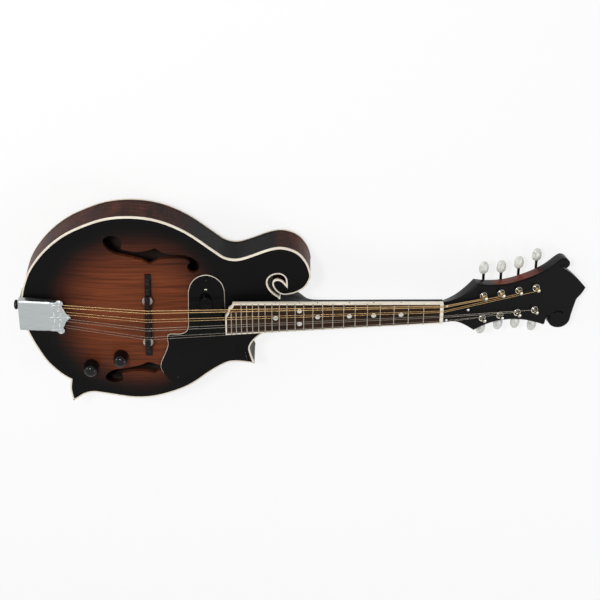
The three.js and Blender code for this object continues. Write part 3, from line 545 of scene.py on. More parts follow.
# The neck is one piece of maple glued into the body. Its heel sweeps up into a round shaft, a
# block carries the end of the fretboard over the top, and all of it is satin black lacquer.
NECK_STATIONS = [               # distance from the bridge, underside, share of heel section
    (158.2, -48, 1), (166, -45, 1), (175, -37, 1), (183, -27, 0.9), (190, -17, 0.6),
    (197, -10.5, 0.3), (207, -7, 0), (240, -7.8, 0), (300, -11, 0), (340, -12.8, 0),
    (355.5, -13.6, 0)]
HEEL = [(1, 0), (0.86, 0.25), (0.76, 0.5), (0.62, 0.75), (0.45, 0.96), (0, 1)]
RISER = [(104, 6.5), (160, 0.5), (160, 12), (104, 14.9)]
SCALE_LENGTH = 352              # from the bridge to the nut
BOARD_TOP = 7.8                 # over the rim, at the nut
NECK_PITCH, HEAD_PITCH = radians(3), radians(16.3)
NUT_HALF, BOARD_TAPER = 14.3, 0.0296
BOARD_SEAT = 5.8                # from the fretboard's face down to the neck
HEAD_START = (356.3, 5.5)       # where the head's face begins, beyond the nut


def tilted(angle, x0, z0):
    """Places on a part that leans back from the line of the body."""
    def place(x, y, z):
        return at(x0 + x * cos(angle) + z * sin(angle), y,
                  z0 - x * sin(angle) + z * cos(angle))
    return place


on_board = tilted(NECK_PITCH, SCALE_LENGTH, BOARD_TOP)
on_head = tilted(HEAD_PITCH, *HEAD_START)


def board_half(x):
    """Half the fretboard's width, x millimetres from the nut."""
    return NUT_HALF - x * BOARD_TAPER


def neck_ring(x, bottom, heel):
    top = BOARD_TOP + (SCALE_LENGTH - x) * tan(NECK_PITCH) - BOARD_SEAT
    side, profile = [], through(HEEL, 3)
    for i, (wide, deep) in enumerate(profile):
        turn = i / (len(profile) - 1) * pi / 2
        side.append((x, board_half(x - SCALE_LENGTH) * (wide * heel + cos(turn) * (1 - heel)),
                     top - (top - bottom) * (deep * heel + sin(turn) * (1 - heel))))
    return side + [(a, -b, c) for a, b, c in reversed(side[:-1])]


def lacquer(paint):
    spot = paint.where()
    haze = spot.noise(3, 0.6, 60)
    grain = spot.stretch(20, 700, 700).noise(2)
    return {"Base Color": haze.mix("0b0a0a", "121111"), "Roughness": 0.3 + haze * 0.16,
            "Specular IOR Level": 0.05, "Normal": grain.bump(0.12, 0.0002)}


black_lacquer = finish("black_lacquer", lacquer)
piece("neck_shaft", loft([neck_ring(*station) for station in through(NECK_STATIONS, 5)]),
      black_lacquer, bend=50, replaces=["neck"])
piece("fretboard_riser", loft([[(x, y, z) for x, z in RISER] for y in (17, -17)]),
      black_lacquer, soften=0.8)

# The head is cut from the same maple. It leans back and has two pointed shoulders, a hooked
# horn and a small scroll. Its edge is stained brown beside the tuners. A black face is glued
# on, with a narrow bevel all round and a groove carved round the scroll.
HEAD_EDGE = [
    [(1.2, 14.3), (10, 14.6), (21, 17.4), (33, 24), (43, 33)],
    [(43, 33), (55, 29.6), (66, 27.6), (80.2, 26.4), (94.4, 27.4), (108.4, 30), (122.5, 34),
     (136.2, 39.8), (149.8, 49), (156.7, 50.6), (162.8, 46), (163.8, 39.6), (158.6, 36),
     (153.6, 40.2)],
    [(153.6, 40.2), (157.4, 35.6), (165.8, 28.8), (178, 16.2), (188, 3.8)],
    [(188, 3.8), (183.2, -4.1), (177.2, -10.8), (174.4, -19.9), (171.4, -32), (169, -42.4),
     (162, -48), (153.3, -48.2), (145, -44), (140.4, -36.5), (138.6, -29.6)],
    [(138.6, -29.6), (137, -34), (135.1, -40.3), (127.7, -37.2), (112.6, -30.7), (98, -26.6),
     (83.4, -24.7), (69.1, -24.8), (54.9, -27.6), (41.5, -32.6)],
    [(41.5, -32.6), (29, -22.6), (18, -16.4), (8, -14.6), (1.2, -14.3)]]
HEAD_THICKNESS = 15
head_line = [p for stretch in HEAD_EDGE for p in through(stretch)[:-1]] + [(1.2, -14.3)]
GROOVE = [polar(11.4 - 0.13 * k, radians(172 - 9 * k), 152.6, -34.4) for k in range(14)]


def head_ring(drop, trim):
    """The head's edge at a depth. Near the nut it draws in towards the round of the neck."""
    ring = []
    for x, y in inset(head_line, trim, True):
        draw = max(0, 1 - x / 36) ** 1.5 * (drop / HEAD_THICKNESS) ** 2
        ring.append((x, y * (1 - 0.4 * draw), -drop + 1.5 * draw))
    return ring


def head_stain(wood):
    spot, corner = wood.where(), on_head(0, 0, 0)
    x, z = spot.part("X") - corner.x, spot.part("Z") - corner.z
    along = x * cos(HEAD_PITCH) - z * sin(HEAD_PITCH)
    grain = spot.stretch(30, 300, 500).noise(3, 0.6)
    brown = along.rise(0.060, 0.074) * (1 - along.rise(0.112, 0.134))
    red = grain.rise(0.3, 0.7).mix("4a1f16", "7a3a28")
    return {"Base Color": brown.mix("0e0d0d", red), "Roughness": 0.32 + grain * 0.15,
            "Specular IOR Level": 0.22}


def head_face(x, y):
    """The face's height: its bevelled edge and the groove round the scroll."""
    bevel = -1.1 * max(0, 1 - gap((x, y), head_line) / 1.4)
    if x > 136 and y < -18:
        bevel -= 1.4 * max(0, 1 - (gap((x, y), GROOVE, False) / 1.3) ** 2)
    return bevel


levels = [(2, 0), (13.9, 0), (14.7, 0.3), (HEAD_THICKNESS, 0.9)]
piece("head_core", loft([head_ring(*level) for level in levels]),
      finish("head_stain", head_stain), place=on_head, bend=40)
carving = inset(head_line, 1.4, True) + GROOVE + inset(GROOVE, 1.3) + inset(GROOVE, -1.3)
piece("head_face", plate(head_line, head_face, lambda x, y: -2, extra=carving), black_lacquer,
      place=on_head, bend=25)

# The truss rod's cover is a bell of black plastic. Three domed screws hold it over the pocket
# where the steel rod's nut can be turned.
BELL = [(1, 12.2), (5.5, 12.6), (9.5, 9.6), (14, 6.6), (22, 4.6), (30, 4.4), (35.4, 2.8), (37, 0)]


def mirrored(path):
    return [(x, -y) for x, y in reversed(path)]


def slab(outline, low, high):
    return loft([[(x, y, z) for x, y in outline] for z in (low, high)])


def together(*shapes):
    points, faces = [], []
    for more, rings in shapes:
        faces += [tuple(i + len(points) for i in face) for face in rings]
        points += more
    return points, faces


def shifted(shape, x, y, z):
    return [(a + x, b + y, c + z) for a, b, c in shape[0]], shape[1]


def turned(profile, sides=32, hollow=False):
    """A turned shape from (radius, height) points, which go all the way round a hollow one."""
    if hollow:
        return loft([[(*polar(r, 2 * pi * k / sides), z) for r, z in profile]
                     for k in range(sides)], closed=True)
    return loft([[(x, y, z) for x, y in circle(0, 0, r, sides)] for r, z in profile])


def screw(radius):
    """A domed screw head with a slot across it."""
    slot = 0.16                 # half its width, as a share of the head's radius
    halves = []
    for side in (1, -1):
        rings = []
        for wide, high in ((1, 0.1), (0.97, 0.25), (0.8, 0.48), (0.5, 0.64), (0.25, 0.68)):
            start = asin(slot / wide)
            turns = [start + (pi - 2 * start) * k / 10 for k in range(11)]
            rings.append([(wide * radius * cos(a), side * wide * radius * sin(a),
                           high * radius) for a in turns])
        halves.append(loft(rings))
    return together(*halves, turned([(radius, -0.3), (radius, 0.12 * radius)], 20))


def plastic(paint):
    haze = paint.where().noise(3, 0.6, 90)
    return {"Base Color": haze.mix("080808", "0d0d0d"), "Roughness": 0.07 + haze * 0.1,
            "Specular IOR Level": 0.07}


def plated(dull, bright, low, high):
    """A metal whose colour and gloss vary a little with wear."""
    def paint(metal):
        wear = metal.where().noise(4, 0.6, 150)
        return {"Base Color": wear.mix(dull, bright), "Metallic": 1.0,
                "Roughness": wear * (high - low) + low}
    return paint


black_plastic = finish("black_plastic", plastic)
chrome = finish("chrome", plated("c3c6c8", "dddfe0", 0.06, 0.2))
nickel = finish("nickel", plated("8d897f", "b3aea3", 0.14, 0.3))
dress(nickel, "truss_rod")
bell = through(BELL)[:-1] + mirrored(through(BELL))
piece("truss_cover", slab(bell, 0.05, 2.2), black_plastic, place=on_head, soften=0.5,
      replaces=["truss_rod_cover"])
screws = [shifted(screw(1.9), x, y, 2.1) for x, y in ((3.6, 9.9), (3.6, -9.9), (31.5, 0))]
piece("truss_cover_screws", together(*screws), chrome, place=on_head)

# The fretboard is oiled rosewood, glued to the neck, its end cut in steps. A cream binding runs
# round its edge, with small dark dots let into the bass side and pearl dots into its face.
BOARD_LENGTH, BOARD_THICKNESS = 260.5, 5.5
DOTS = [(-47.2, 0), (-80.5, 0), (-110.1, 0), (-148.6, 0), (-170.7, 9), (-170.7, -9), (-199.6, 0)]


def end_line(trim):
    """The fretboard's edge, from the nut on the treble side round its end and back."""
    end = trim - BOARD_LENGTH
    wide = [(x, board_half(x) - trim) for x in (0, end, end + 9.7)]
    return [(0, -wide[0][1]), (end, -wide[1][1]), (end, 3), (end + 3, 8), (end + 4.5, 14.5 - trim),
            (end + 8, 17 - trim), wide[2], wide[0]]


def rose(wood):
    spot = wood.where()
    grain = spot.stretch(22, 520, 300).noise(5, 0.65)
    stripe = spot.stretch(5, 110, 60).noise(2)
    brown = (grain * 0.6 + stripe * 0.4).rise(0.33, 0.68)
    return {"Base Color": brown.mix("1a110b", "3c281a"), "Roughness": 0.48 + grain * 0.2,
            "Specular IOR Level": 0.08, "Normal": grain.bump(0.4, 0.0002)}


def shell(paint):
    cloud = paint.where().noise(3, 0.6, 190, 1.6)
    light = cloud.ramp((0.3, "a9aaa6"), (0.45, "c9cac4"), (0.55, "e4e3dc"), (0.7, "b9bcba"))
    return {"Base Color": light, "Roughness": 0.16 + cloud * 0.14, "Coat Weight": 0.4,
            "Coat Roughness": 0.08}


rosewood = finish("rosewood", rose)
pearl = finish("pearl", shell)
piece("fretboard_wood", slab(end_line(1.75), -BOARD_THICKNESS, 0), rosewood, place=on_board,
      replaces=["fretboard"])
edge = [(0, -BOARD_THICKNESS), (0, -0.35), (0.12, -0.1), (0.4, 0), (1.8, 0),
        (1.8, -BOARD_THICKNESS)]
piece("board_binding", band(end_line(0), edge), ivoroid, place=on_board,
      replaces=["fretboard_binding"])
dots = [shifted(turned([(3, -0.6), (3, 0.03), (2.9, 0.06), (1.5, 0.08)], 28), x, y, 0)
        for x, y in DOTS]
piece("pearl_dots", together(*dots), pearl, place=on_board)
side_dots = [loft([[(x + a, board_half(x) + out, -2.6 + b) for a, b in circle(0, 0, 0.9, 14)]
                   for out in (-0.6, 0.06)]) for x, y in DOTS if y >= 0]
piece("side_dots", together(*side_dots), black_plastic, place=on_board)

# Twenty two nickel silver frets are pressed into saw cuts across the fretboard, their crowns
# rounded and their ends filed back. The last two stop short of the bass side.
FRETS = 22
frets = []
crown = [(-0.75, -0.3), (-0.75, 0.1), (-0.6, 0.5), (-0.3, 0.82), (0, 0.9), (0.3, 0.82),
         (0.6, 0.5), (0.75, 0.1), (0.75, -0.3)]
for number in range(1, FRETS + 1):
    x = SCALE_LENGTH * (2 ** (-number / 12) - 1)
    far = board_half(x) - 0.3
    near = far if number < FRETS - 1 else 10
    stations = [(-far, 0.3), (-far + 0.35, 0.85), (-far + 0.8, 1)]
    stations += [(near - 0.8, 1), (near - 0.35, 0.85), (near, 0.3)]
    frets.append(loft([[(x + a, y, b * k if b > 0 else b) for a, b in crown]
                       for y, k in stations]))
piece("fret_crowns", together(*frets), nickel, place=on_board, bend=50, replaces=["frets"])

# The nut is a polished strip of bone, glued across the end of the fretboard, with eight slots
# filed into it that space the strings in pairs.
STRINGS = [                     # name, radius, course from the middle, side within the course
    ("g1", 0.5, 1.5, 0.5), ("g2", 0.5, 1.5, -0.5), ("d1", 0.33, 0.5, 0.5),
    ("d2", 0.33, 0.5, -0.5), ("a1", 0.2, -0.5, 0.5), ("a2", 0.2, -0.5, -0.5),
    ("e1", 0.15, -1.5, 0.5), ("e2", 0.15, -1.5, -0.5)]
AT_NUT = (7.1, 2)               # from course to course, and from string to string within one


def string_place(course, side, pitch, spacing):
    """How far a string lies from the centre line."""
    return course * pitch + side * spacing


def slotted(spread, depth):
    """How far the edge of a nut or saddle dips at each place across it, in (y, drop) points."""
    dips = []
    for _, radius, course, side in STRINGS:
        y = string_place(course, side, *spread)
        dips += [(y + 1.35 * radius + 0.1, 0), (y + 0.9 * radius, depth), (y, depth + 0.1),
                 (y - 0.9 * radius, depth), (y - 1.35 * radius - 0.1, 0)]
    return dips


def bony(paint):
    haze = paint.where().stretch(300, 90, 300).noise(3, 0.6)
    return {"Base Color": haze.mix("ded8c6", "f3efe4"), "Roughness": 0.28 + haze * 0.15}


bone = finish("bone", bony)
comb = [(NUT_HALF, -BOARD_THICKNESS), (NUT_HALF, 1.3)]
comb += [(y, 1.6 - dip) for y, dip in slotted(AT_NUT, 0.55)]
comb += [(-NUT_HALF, 1.3), (-NUT_HALF, -BOARD_THICKNESS)]
piece("bone_nut", loft([[(x, y, z) for y, z in comb] for x in (0.05, 4.1)]), bone,
      place=on_board, replaces=["nut"])

# The pickguard is black plastic over a thin white layer that shows as a line round its edge. It
# stands clear of the top, reaches up to the fretboard's end and arches over towards the bass.
GUARD = [
    [(90.5, 31.6), (87.2, 41.6), (79, 49.6), (69.3, 53), (59, 50.8), (51.5, 43.8), (48, 33.3)],
    [(47, -14.2), (44, -22.2), (36, -25.7), (21.6, -26.2), (21.2, -41.2), (17.1, -54.7),
     (12.2, -67.2), (10.6, -76.7), (12.9, -86.2), (17.5, -93.5)],
    [(17.5, -93.5), (20.5, -99.8), (31, -105.7), (43.1, -103.7), (60, -91.7), (76, -79.2),
     (91.7, -70.2), (105, -68.4), (117, -70.4)],
    [(117, -70.4), (114.6, -58), (116.6, -49.4), (122.6, -40.8), (131, -32.6)]]
GUARD_TOP = 2.8                 # over the soundboard
free_edge = through(GUARD[0]) + through(GUARD[1])
rim_edge = through(GUARD[2])[1:-1] + through(GUARD[3]) + [(128, -23.7), (91.5, -23.7)]
for name, material, line, low, high, stands_for in (
        ("pickguard_white_layer", ivoroid, inset(free_edge, 0.55), 0.6, 1.7, ()),
        ("pickguard_face", black_plastic, free_edge, 1.7, GUARD_TOP, ["pickguard"])):
    layer = plate(line + rim_edge, lambda x, y: over_top(x, y, high),
                  lambda x, y: over_top(x, y, low), spacing=5)
    piece(name, layer, material, soften=0.15, replaces=stands_for)


def guard_screw(radius, x, y):
    return shifted(screw(radius), x, y, over_top(x, y, GUARD_TOP))


# Polished steel whose dark colour is a painted reflection of dark surroundings.
steel = finish("steel_with_painted_dark_reflection", plated("1f1f20", "3a3a3b", 0.2, 0.34))
screws = together(guard_screw(1.2, 30.5, -94.5), guard_screw(1.2, 69.2, 46.9))
piece("pickguard_screws", screws, steel)

# The pickup is a black bar under the strings, round at its bass end and screwed to the
# pickguard, with a nickel plated mounting screw beside it.
bar = [polar(7, pi * k / 18, 69, 22) for k in range(19)] + [(62, -27), (76, -27)]
bar = plate(bar, lambda x, y: 19.5, lambda x, y: over_top(x, y, GUARD_TOP + 0.05), spacing=6)
piece("pickup_bar", bar, black_plastic, soften=1, replaces=["pickup"])
piece("pickup_screw", guard_screw(1.7, 68.9, 35.2), nickel)

# Two glossy black knobs, volume and tone, are pushed on the split shafts of the pots that hang
# inside the body. Each is turned with a tapered skirt and a domed crown.
KNOB = [(1.6, -20), (1.6, 0.6), (8.6, 0.6), (9.2, 0.9), (9.4, 1.6), (9.1, 5), (8.8, 9), (8.5, 12),
        (8.1, 13.9), (7.3, 15.3), (6.2, 16.5), (4.8, 17.4), (3.2, 18), (1.6, 18.3), (0.3, 18.4)]
glossy = finish("glossy_plastic", lambda paint: {**plastic(paint), "Specular IOR Level": 0.22})
for name, x, y, level in POTS:
    piece(name + "_cap", shifted(turned(KNOB, 56), x, y, level), glossy, "knob_" + name,
          bend=40, replaces=["knob_" + name])
    dress(nickel, "pot_" + name)

# The bridge is ebony, and only the strings' pressure holds it, set a little askew. Its base is
# fitted to the top's arch and carries two threaded studs.
BASE = [(57.5, 12.6), (55, 13.3), (51, 14.2), (48, 17), (44.5, 18.2), (40, 18.8), (37, 21.8),
        (34, 23), (28, 23.2), (22, 22.9), (17, 21.5), (12, 20.1), (6, 19.4), (0, 19.2)]
SKEW = radians(1.5)
SKEW_RUN = 0.026                # towards the head for each millimetre to the bass side
STUD_Y = 29


def ebon(wood):
    grain = wood.where().stretch(420, 24, 420).noise(4, 0.6)
    return {"Base Color": grain.mix("0b0a09", "161412"), "Roughness": 0.36 + grain * 0.2,
            "Specular IOR Level": 0.1, "Normal": grain.bump(0.25, 0.0002)}


def askew(x, y, z):
    """Places on the bridge."""
    return at(x * cos(SKEW) + y * sin(SKEW) - SET_BACK,
              y * cos(SKEW) - x * sin(SKEW), z)


ebony = finish("ebony", ebon)
stations = through(BASE + [(-y, z) for y, z in reversed(BASE[:-1])], 3)
base = []
for y, high in stations:
    foot = over_top(SKEW_RUN * y - SET_BACK, y, 0.15)
    base.append([(-3.6, y, foot), (-4, y, foot + 0.4), (-4, y, foot + 1.4), (-3.4, y, high - 0.7),
                 (-2.7, y, high), (2.7, y, high), (3.4, y, high - 0.7), (4, y, foot + 1.4),
                 (4, y, foot + 0.4), (3.6, y, foot)])
piece("bridge_foot", loft(base), ebony, place=askew, bend=50, replaces=["bridge_base"])
thread = [(1.8 if k % 2 else 1.55, 20 + 0.35 * k) for k in range(32)]
studs = [shifted(turned(thread, 20), 0, y, 0) for y in (STUD_Y, -STUD_Y)]
piece("bridge_studs", together(*studs), nickel, place=askew)

# The saddle stands on the studs and rises or sinks with the two knurled wheels under it. Its
# crest is notched for the eight strings.
SADDLE = [(-37, 29.6), (-36.4, 31), (-34.5, 32.3), (-31, 33.4), (-27, 34.3), (-24, 34.7)]
AT_SADDLE = (12.5, 3.5)
ridge = SADDLE + [(y, 34.8 - dip) for y, dip in reversed(slotted(AT_SADDLE, 0.35))]
ridge += [(-y, z) for y, z in reversed(SADDLE)]
saddle = [[(-3, y, 28.2), (-3.2, y, 28.5), (-3.2, y, min(31.2, high - 1)), (-2.4, y, high - 1.6),
           (-1.2, y, high - 0.4), (0, y, high), (1.2, y, high - 0.4), (2.4, y, high - 1.6),
           (3.2, y, min(31.2, high - 1)), (3.2, y, 28.5), (3, y, 28.2)] for y, high in ridge]
piece("saddle_crest", loft(saddle), ebony, "bridge_saddle", place=askew, bend=40,
      replaces=["bridge_saddle"])
KNURLS = 32                     # round each wheel
for name, y in (("bass", STUD_Y), ("treble", -STUD_Y)):
    rim = []
    for k in range(KNURLS * 3):
        far = 6.4 if k % 3 else 6.1
        rim.append([(*polar(r, 2 * pi * k / (KNURLS * 3)), z) for r, z in (
            (2.2, 0.2), (2.2, -0.9), (far - 0.4, -0.9), (far, -0.55), (far, 0.55),
            (far - 0.3, 0.9), (5.2, 0.9), (4.8, 0.2))])
    piece(name + "_height_wheel", shifted(loft(rim, closed=True), 0, y, 26), nickel,
          "thumbwheel_" + name, place=askew, replaces=["thumbwheel_" + name])

# The tailpiece is a bent bracket of nickel plated brass, screwed to the tail. Its hooks hold
# the loops of the strings. A stamped and plated cover with raised scrolls slides over it.
TIP = [(-120, 20.4), (-113.4, 20.6), (-111.2, 23), (-107.8, 23.8), (-104.4, 21.6),
       (-103.6, 18.2), (-105, 15), (-103, 11), (-100.8, 6), (-94.8, 0)]
CORNER = [(-159.1, 0), (-159.1, 18.9), (-158.7, 20), (-157.7, 20.5), (-120, 20.5)]
TAIL = CORNER[0][0]
FRONT, FRONT_LEVEL = -112, 16.8  # the head end of the cover's straight sides, and its height
RUN, CLIMB = 47.1, 3.8          # of the cover, from the tail to there
dress(nickel, "tailpiece_bracket")


def brushed(metal):
    streak = metal.where().stretch(40, 900, 900).noise(4, 0.6)
    return {"Base Color": streak.mix("a4a9a9", "bcc1c1"), "Metallic": 1.0,
            "Roughness": 0.26 + streak * 0.16, "Normal": streak.bump(0.15, 0.0001)}


def curl(x, y, size, start, turns, side):
    """A spiral that winds in to a place."""
    steps = int(abs(turns) * 22)
    line = []
    for k in range(steps + 1):
        far, turn = size * (1 - 0.85 * k / steps), start + turns * 2 * pi * k / steps
        line.append((x + far * cos(turn), side * (y + far * sin(turn))))
    return line


half = CORNER[:-1] + through(TIP)
cover_line = half + mirrored(half)[1:-1]
SCROLLS = [path for side in (1, -1) for path in (
    curl(-108.4, 18.9, 3.2, 1.2, 1.5, side), curl(-116.6, 13.2, 2.7, -1.8, -1.3, side),
    curl(-109.6, 11.2, 2.6, 2.6, 1.3, side), curl(-115.4, 5.2, 2.5, 0.4, -1.3, side),
    curl(-107.6, 4.4, 2.2, 3.4, 1.2, side),
    through([(-121.4, 1.5 * side), (-119.6, 7.5 * side), (-120.6, 13 * side), (-118, 17.6 * side),
             (-112.6, 16.6 * side)]))]
SCROLLS.append(through([(-121.5, 0), (-116, 0.01), (-106, 0), (-98, 0.01)]))
SCROLL_HEIGHT, SCROLL_WIDTH = 0.42, 0.5
SLOPE = atan2(CLIMB, RUN)


def cover_height(x, y):
    """The cover's upper face: its rolled edge and the raised scrolls."""
    edge = max(0, 1 - gap((x, y), cover_line) / 1.3)
    height = -1.3 * (1 - sqrt(1 - min(1, edge) ** 2))
    if x > -124:
        near = min(gap((x, y), path, False) for path in SCROLLS)
        height += SCROLL_HEIGHT * exp(-(near / SCROLL_WIDTH) ** 2) * (1 - edge)
    return height


def on_cover(x, y, z):
    return at(FRONT + (x - FRONT) * cos(SLOPE) - z * sin(SLOPE), y,
              FRONT_LEVEL + (x - FRONT) * sin(SLOPE) + z * cos(SLOPE))


satin = finish("satin_plate", brushed)
dense = [p for trim in (0.2, 0.6, 1.3) for p in inset(cover_line, trim, True)]
for path in SCROLLS:
    dense += [p for shift in (-1.2, -0.6, 0, 0.6, 1.2) for p in inset(path, shift)]
sheet = plate(cover_line, cover_height, lambda x, y: -1.6, spacing=1.6, extra=dense)
piece("cover_plate", sheet, satin, place=on_cover, bend=40,
      replaces=["tailpiece_cover"])
skirt = []
wall = [(FRONT, 20.5), *reversed(CORNER[1:-1]), *mirrored(CORNER[1:-1])[::-1], (FRONT, -20.5)]
for (x, y), (ix, iy) in zip(wall, inset(wall, -0.8)):
    top, low = FRONT_LEVEL + (x - FRONT) * CLIMB / RUN - 1.5, 2 + (x - TAIL) * 8 / RUN
    skirt.append([(x, y, top), (ix, iy, top), (ix, iy, low), (x, y, low)])
piece("cover_skirt", loft(skirt), satin, soften=0.3)

# The strap button is turned steel, screwed into the tail block. Its dark colour is a painted
# reflection of dark surroundings. Under it the output jack goes through the tail, held by a
# washer and a hexagonal nut.
BUTTON = [(2.6, -34), (2.6, 0), (4.6, 0.1), (4.4, 0.9), (3.5, 2.2), (3.3, 3.8), (4.4, 5),
          (5.9, 5.9), (6.25, 6.9), (6, 8), (5, 9), (3.4, 9.5), (1, 9.6)]
SLEEVE = [(3.5, -40), (5.5, -40), (5.5, 0), (8.6, 0), (8.6, 0.7), (5.4, 0.9), (5.4, 4),
          (4.6, 4.3), (3.9, 4.2), (3.5, 3.8)]
HEXAGON = [(5, 0.9), (7.6, 0.9), (8.1, 1.3), (8.1, 3), (7.5, 3.5), (5, 3.5)]
BUTTON_SEAT, JACK_SEAT = (-158.4, -14), (-157.3, -33)


def from_tail(start, level):
    """Places on a part turned about a line out of the tail, at a level on the rib."""
    return lambda x, y, z: at(start - z, y, level + x)


piece("button_turning", turned(BUTTON, 40), steel, place=from_tail(*BUTTON_SEAT),
      bend=40, replaces=["strap_button"])
jack = together(turned(SLEEVE, 32, True), turned(HEXAGON, 6, True))
piece("jack_sleeve", jack, chrome, place=from_tail(*JACK_SEAT), bend=25,
      replaces=["output_jack"])

# Each row of four tuners shares a nickel plate, screwed to the back of the head. Its lugs hold
# the worms. Bushings pressed into the face steady the tops of the posts.
POST_FIRST, POST_STEP, POST_ROW = 51.4, 23, 15.8
posts = []                      # string, radius, place in its row, x and y of its post
for i, (name, radius, course, _) in enumerate(STRINGS):
    order = i if course > 0 else 7 - i
    posts.append((name, radius, order, POST_FIRST + POST_STEP * order,
                  copysign(POST_ROW, course)))
dress(nickel, "tuner_plate_bass", "tuner_plate_treble")
RING = [(3.6, -0.5), (4.9, -0.5), (4.9, 0.5), (4.7, 1), (4.25, 1.35), (3.8, 1.3), (3.6, 0.9)]
rings = [shifted(turned(RING, 32, True), x, y, 0) for _, _, _, x, y in posts]
piece("post_bushings", together(*rings), nickel, place=on_head, bend=40)
PLATE_FACE = -16.4
fixings = [shifted(screw(1.5), x, y, 0) for x in (46, 68.5, 91.5, 114.5, 136) for y in (13, -13)]
piece("tuner_plate_screws", together(*fixings), nickel,
      place=lambda x, y, z: on_head(x, y, PLATE_FACE - z))

# Each post is turned steel, nickel plated, with a gear of fourteen teeth on its lower end. Its
# string is wound a few times round the waist at the top.
STEM = [(2.2, -22.2), (2.2, -17.4), (3, -17.4), (3, 0.4), (2.3, 1), (2.05, 1.6), (2.05, 7.6),
        (2.3, 8), (2.3, 9), (2.1, 9.35), (1.6, 9.5), (0.3, 9.5)]
TEETH = 14
WAIST, WAIST_TOP = 2.1, 7.9     # its radius, and its height over the face
WRAP_START, WRAP_STEP = 2.8, 0.7  # the first wrap's height, and more for each further post
WRAPS, WRAP_PLACES = 3.5, 24    # at the most, and places round each


def wire(path, radius, sides=10):
    """A round wire along a path of places."""
    path = [Vector(spot) for spot in path]
    across, rings = None, []
    for i, spot in enumerate(path):
        ahead = (path[min(i + 1, len(path) - 1)] - path[max(i - 1, 0)]).normalized()
        across = across or ahead.orthogonal()
        across = (across - ahead * across.dot(ahead)).normalized()
        up = ahead.cross(across)
        rings.append([tuple(spot + (across * cos(a) + up * sin(a)) * radius)
                      for a in (2 * pi * k / sides for k in range(sides))])
    return loft(rings)


def wound(metal):
    spot = metal.where()
    rub = spot.noise(3, 0.6, 220)
    winding = spot.sum("SINE", spot.part("X") * 5500)
    return {"Base Color": rub.mix("977449", "c4a678"), "Metallic": 1.0,
            "Roughness": 0.26 + rub * 0.16, "Normal": winding.bump(0.3, 0.00015)}


bronze_wire = finish("bronze_wire", wound)
steel_wire = finish("steel_wire", plated("8f877a", "bcb4a6", 0.18, 0.3))
for name, radius, order, x, y in posts:
    side = copysign(1, y)
    lead = 0 if side > 0 else pi / TEETH
    teeth = []
    for tooth in range(TEETH):
        for r, along in ((3.5, -0.42), (4.85, -0.14), (5, 0), (4.85, 0.14), (3.5, 0.42)):
            turn = lead + tooth / TEETH * 2 * pi + along / r
            teeth.append(polar(r, turn))
    stem = together(turned(STEM, 28), slab(teeth, -21.5, -18.1))
    piece("post_" + name, shifted(stem, x, y, 0), nickel, "string_post_" + name, place=on_head,
          replaces=["string_post_" + name])
    coil = []
    for k in range(int(WRAPS * WRAP_PLACES) + 1):
        turn = -side * pi / 2 - side * 2 * pi * k / WRAP_PLACES
        coil.append((*polar(WAIST + radius, turn, x, y),
                     WRAP_START + WRAP_STEP * order + 2.1 * radius * k / WRAP_PLACES))
    coil = [spot for spot in coil if spot[2] < WAIST_TOP]
    piece("wraps_" + name, wire(coil, radius, 8), bronze_wire if radius > 0.3 else steel_wire,
          "string_post_" + name, place=on_head, bend=60)
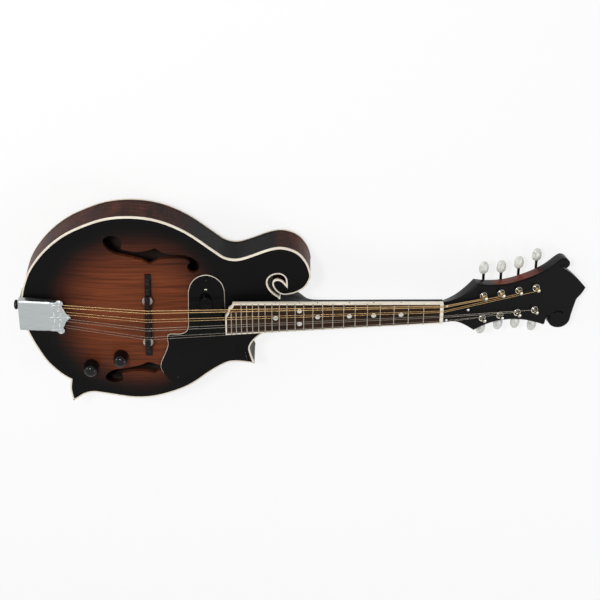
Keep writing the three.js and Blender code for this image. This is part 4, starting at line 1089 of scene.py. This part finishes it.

# A worm on each key's shaft meshes with its gear, fourteen turns of the key for one of the
# post. The shaft is steel, coloured dark as a painted reflection of dark surroundings, and ends
# in an oval button of pearl plastic.
SHAFT = [(1.1, -6.2), (1.3, -6), (1.3, -3.6), (1.7, -3.4), (1.7, 3.4), (1.3, 3.6), (1.3, 5.6),
         (1.7, 5.8)]
OVAL = [(2.1, -0.3), (2.7, 0.3), (4.2, 1), (5.4, 2.4), (6.1, 4.4), (6.3, 6.6), (6.2, 8.8),
        (5.8, 11.2), (4.9, 13.5), (3.5, 15.3), (1.9, 16.2), (0.5, 16.4)]
BUTTON_STARTS = (19.2, 17.1, 19.2, 26.5)      # from the post's axis, for each in a row
WORM_OFFSET, WORM_LEVEL, GEAR_RADIUS = 6.9, -19.8, 4.3
for name, _, order, x, y in posts:
    side, start = copysign(1, y), BUTTON_STARTS[order]

    def on_key(a, b, c):
        return on_head(x + WORM_OFFSET + side * a, y + side * c, WORM_LEVEL + b)

    worm = []
    for k in range(49):
        turn = (k - 24) / 24 * 2 * pi
        along = turn * GEAR_RADIUS / TEETH
        worm.append([(*polar(r, turn), along + shift) for r, shift in (
            (1.2, -0.55), (2.6, -0.2), (3.1, 0), (2.6, 0.2), (1.2, 0.55))])
    collar = [(1.6, start - 0.9), (2.1, start - 0.7), (2.1, start - 0.2), (1.6, start)]
    metal = together(turned(SHAFT + [(1.7, start)], 20), loft(worm), turned(collar, 24))
    piece("worm_" + name, metal, steel, "tuner_key_" + name, place=on_key,
          replaces=["tuner_key_" + name])
    grip = turned([(r, start + z) for r, z in OVAL], 40)
    grip = [(a, 0.55 * b, c) for a, b, c in grip[0]], grip[1]
    piece("button_" + name, grip, pearl, "tuner_key_" + name, place=on_key, bend=50)

# The strings are four pairs: wound bronze for the two low ones and plain steel for the others.
# Each is looped over its hook and stretched over the saddle and the nut to its post.
AT_HOOKS = (8.6, 3.6)
HOOK, HOOK_SEAT = -130.6, 8.6   # along, and how high the strings lie there
SADDLE_SEAT, NUT_SEAT = 34.72, 1.02
SADDLE_SPOT, NUT_SPOT = askew(0, 0, 34.7), on_board(0, 0, 1)
for (name, radius, course, near), (_, _, order, x, y) in zip(STRINGS, posts):
    metal = bronze_wire if radius > 0.3 else steel_wire
    hook = Vector((HOOK, string_place(course, near, *AT_HOOKS), HOOK_SEAT + radius))
    crest = askew(0, string_place(course, near, *AT_SADDLE), SADDLE_SEAT + radius)
    over = (crest - home) * 1000
    loop = [hook + Vector((*polar(1.5, radians(20 + 320 * k / 14), -1.4), 0))
            for k in range(15)]
    tail = loop + [hook + Vector((0.6, 0, 0.1))] + [hook.lerp(over, k / 12) for k in range(1, 13)]
    tail = piece("tail_string_" + name, wire(tail, radius), metal, None, bend=60)
    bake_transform(tail)
    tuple(SADDLE_SPOT)
    nut_y = string_place(course, near, *AT_NUT)
    crossing = [on_board(a, nut_y, NUT_SEAT + radius) for a in (-0.5, 4.6)]
    inside = copysign(2.14 + radius, y)
    end = on_head(x, y - inside, WRAP_START + WRAP_STEP * order)
    path = [crest.lerp(crossing[0], k / 30) for k in range(31)]
    path += [crossing[1].lerp(end, k / 8) for k in range(9)]
    path = [(spot - home) * 1000 for spot in path]
    speaking = piece("string_run_" + name, wire(path, radius), metal, None, bend=60,
                     replaces=["string_" + name])
    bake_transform(speaking)
    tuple(SADDLE_SPOT)
    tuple(NUT_SPOT)
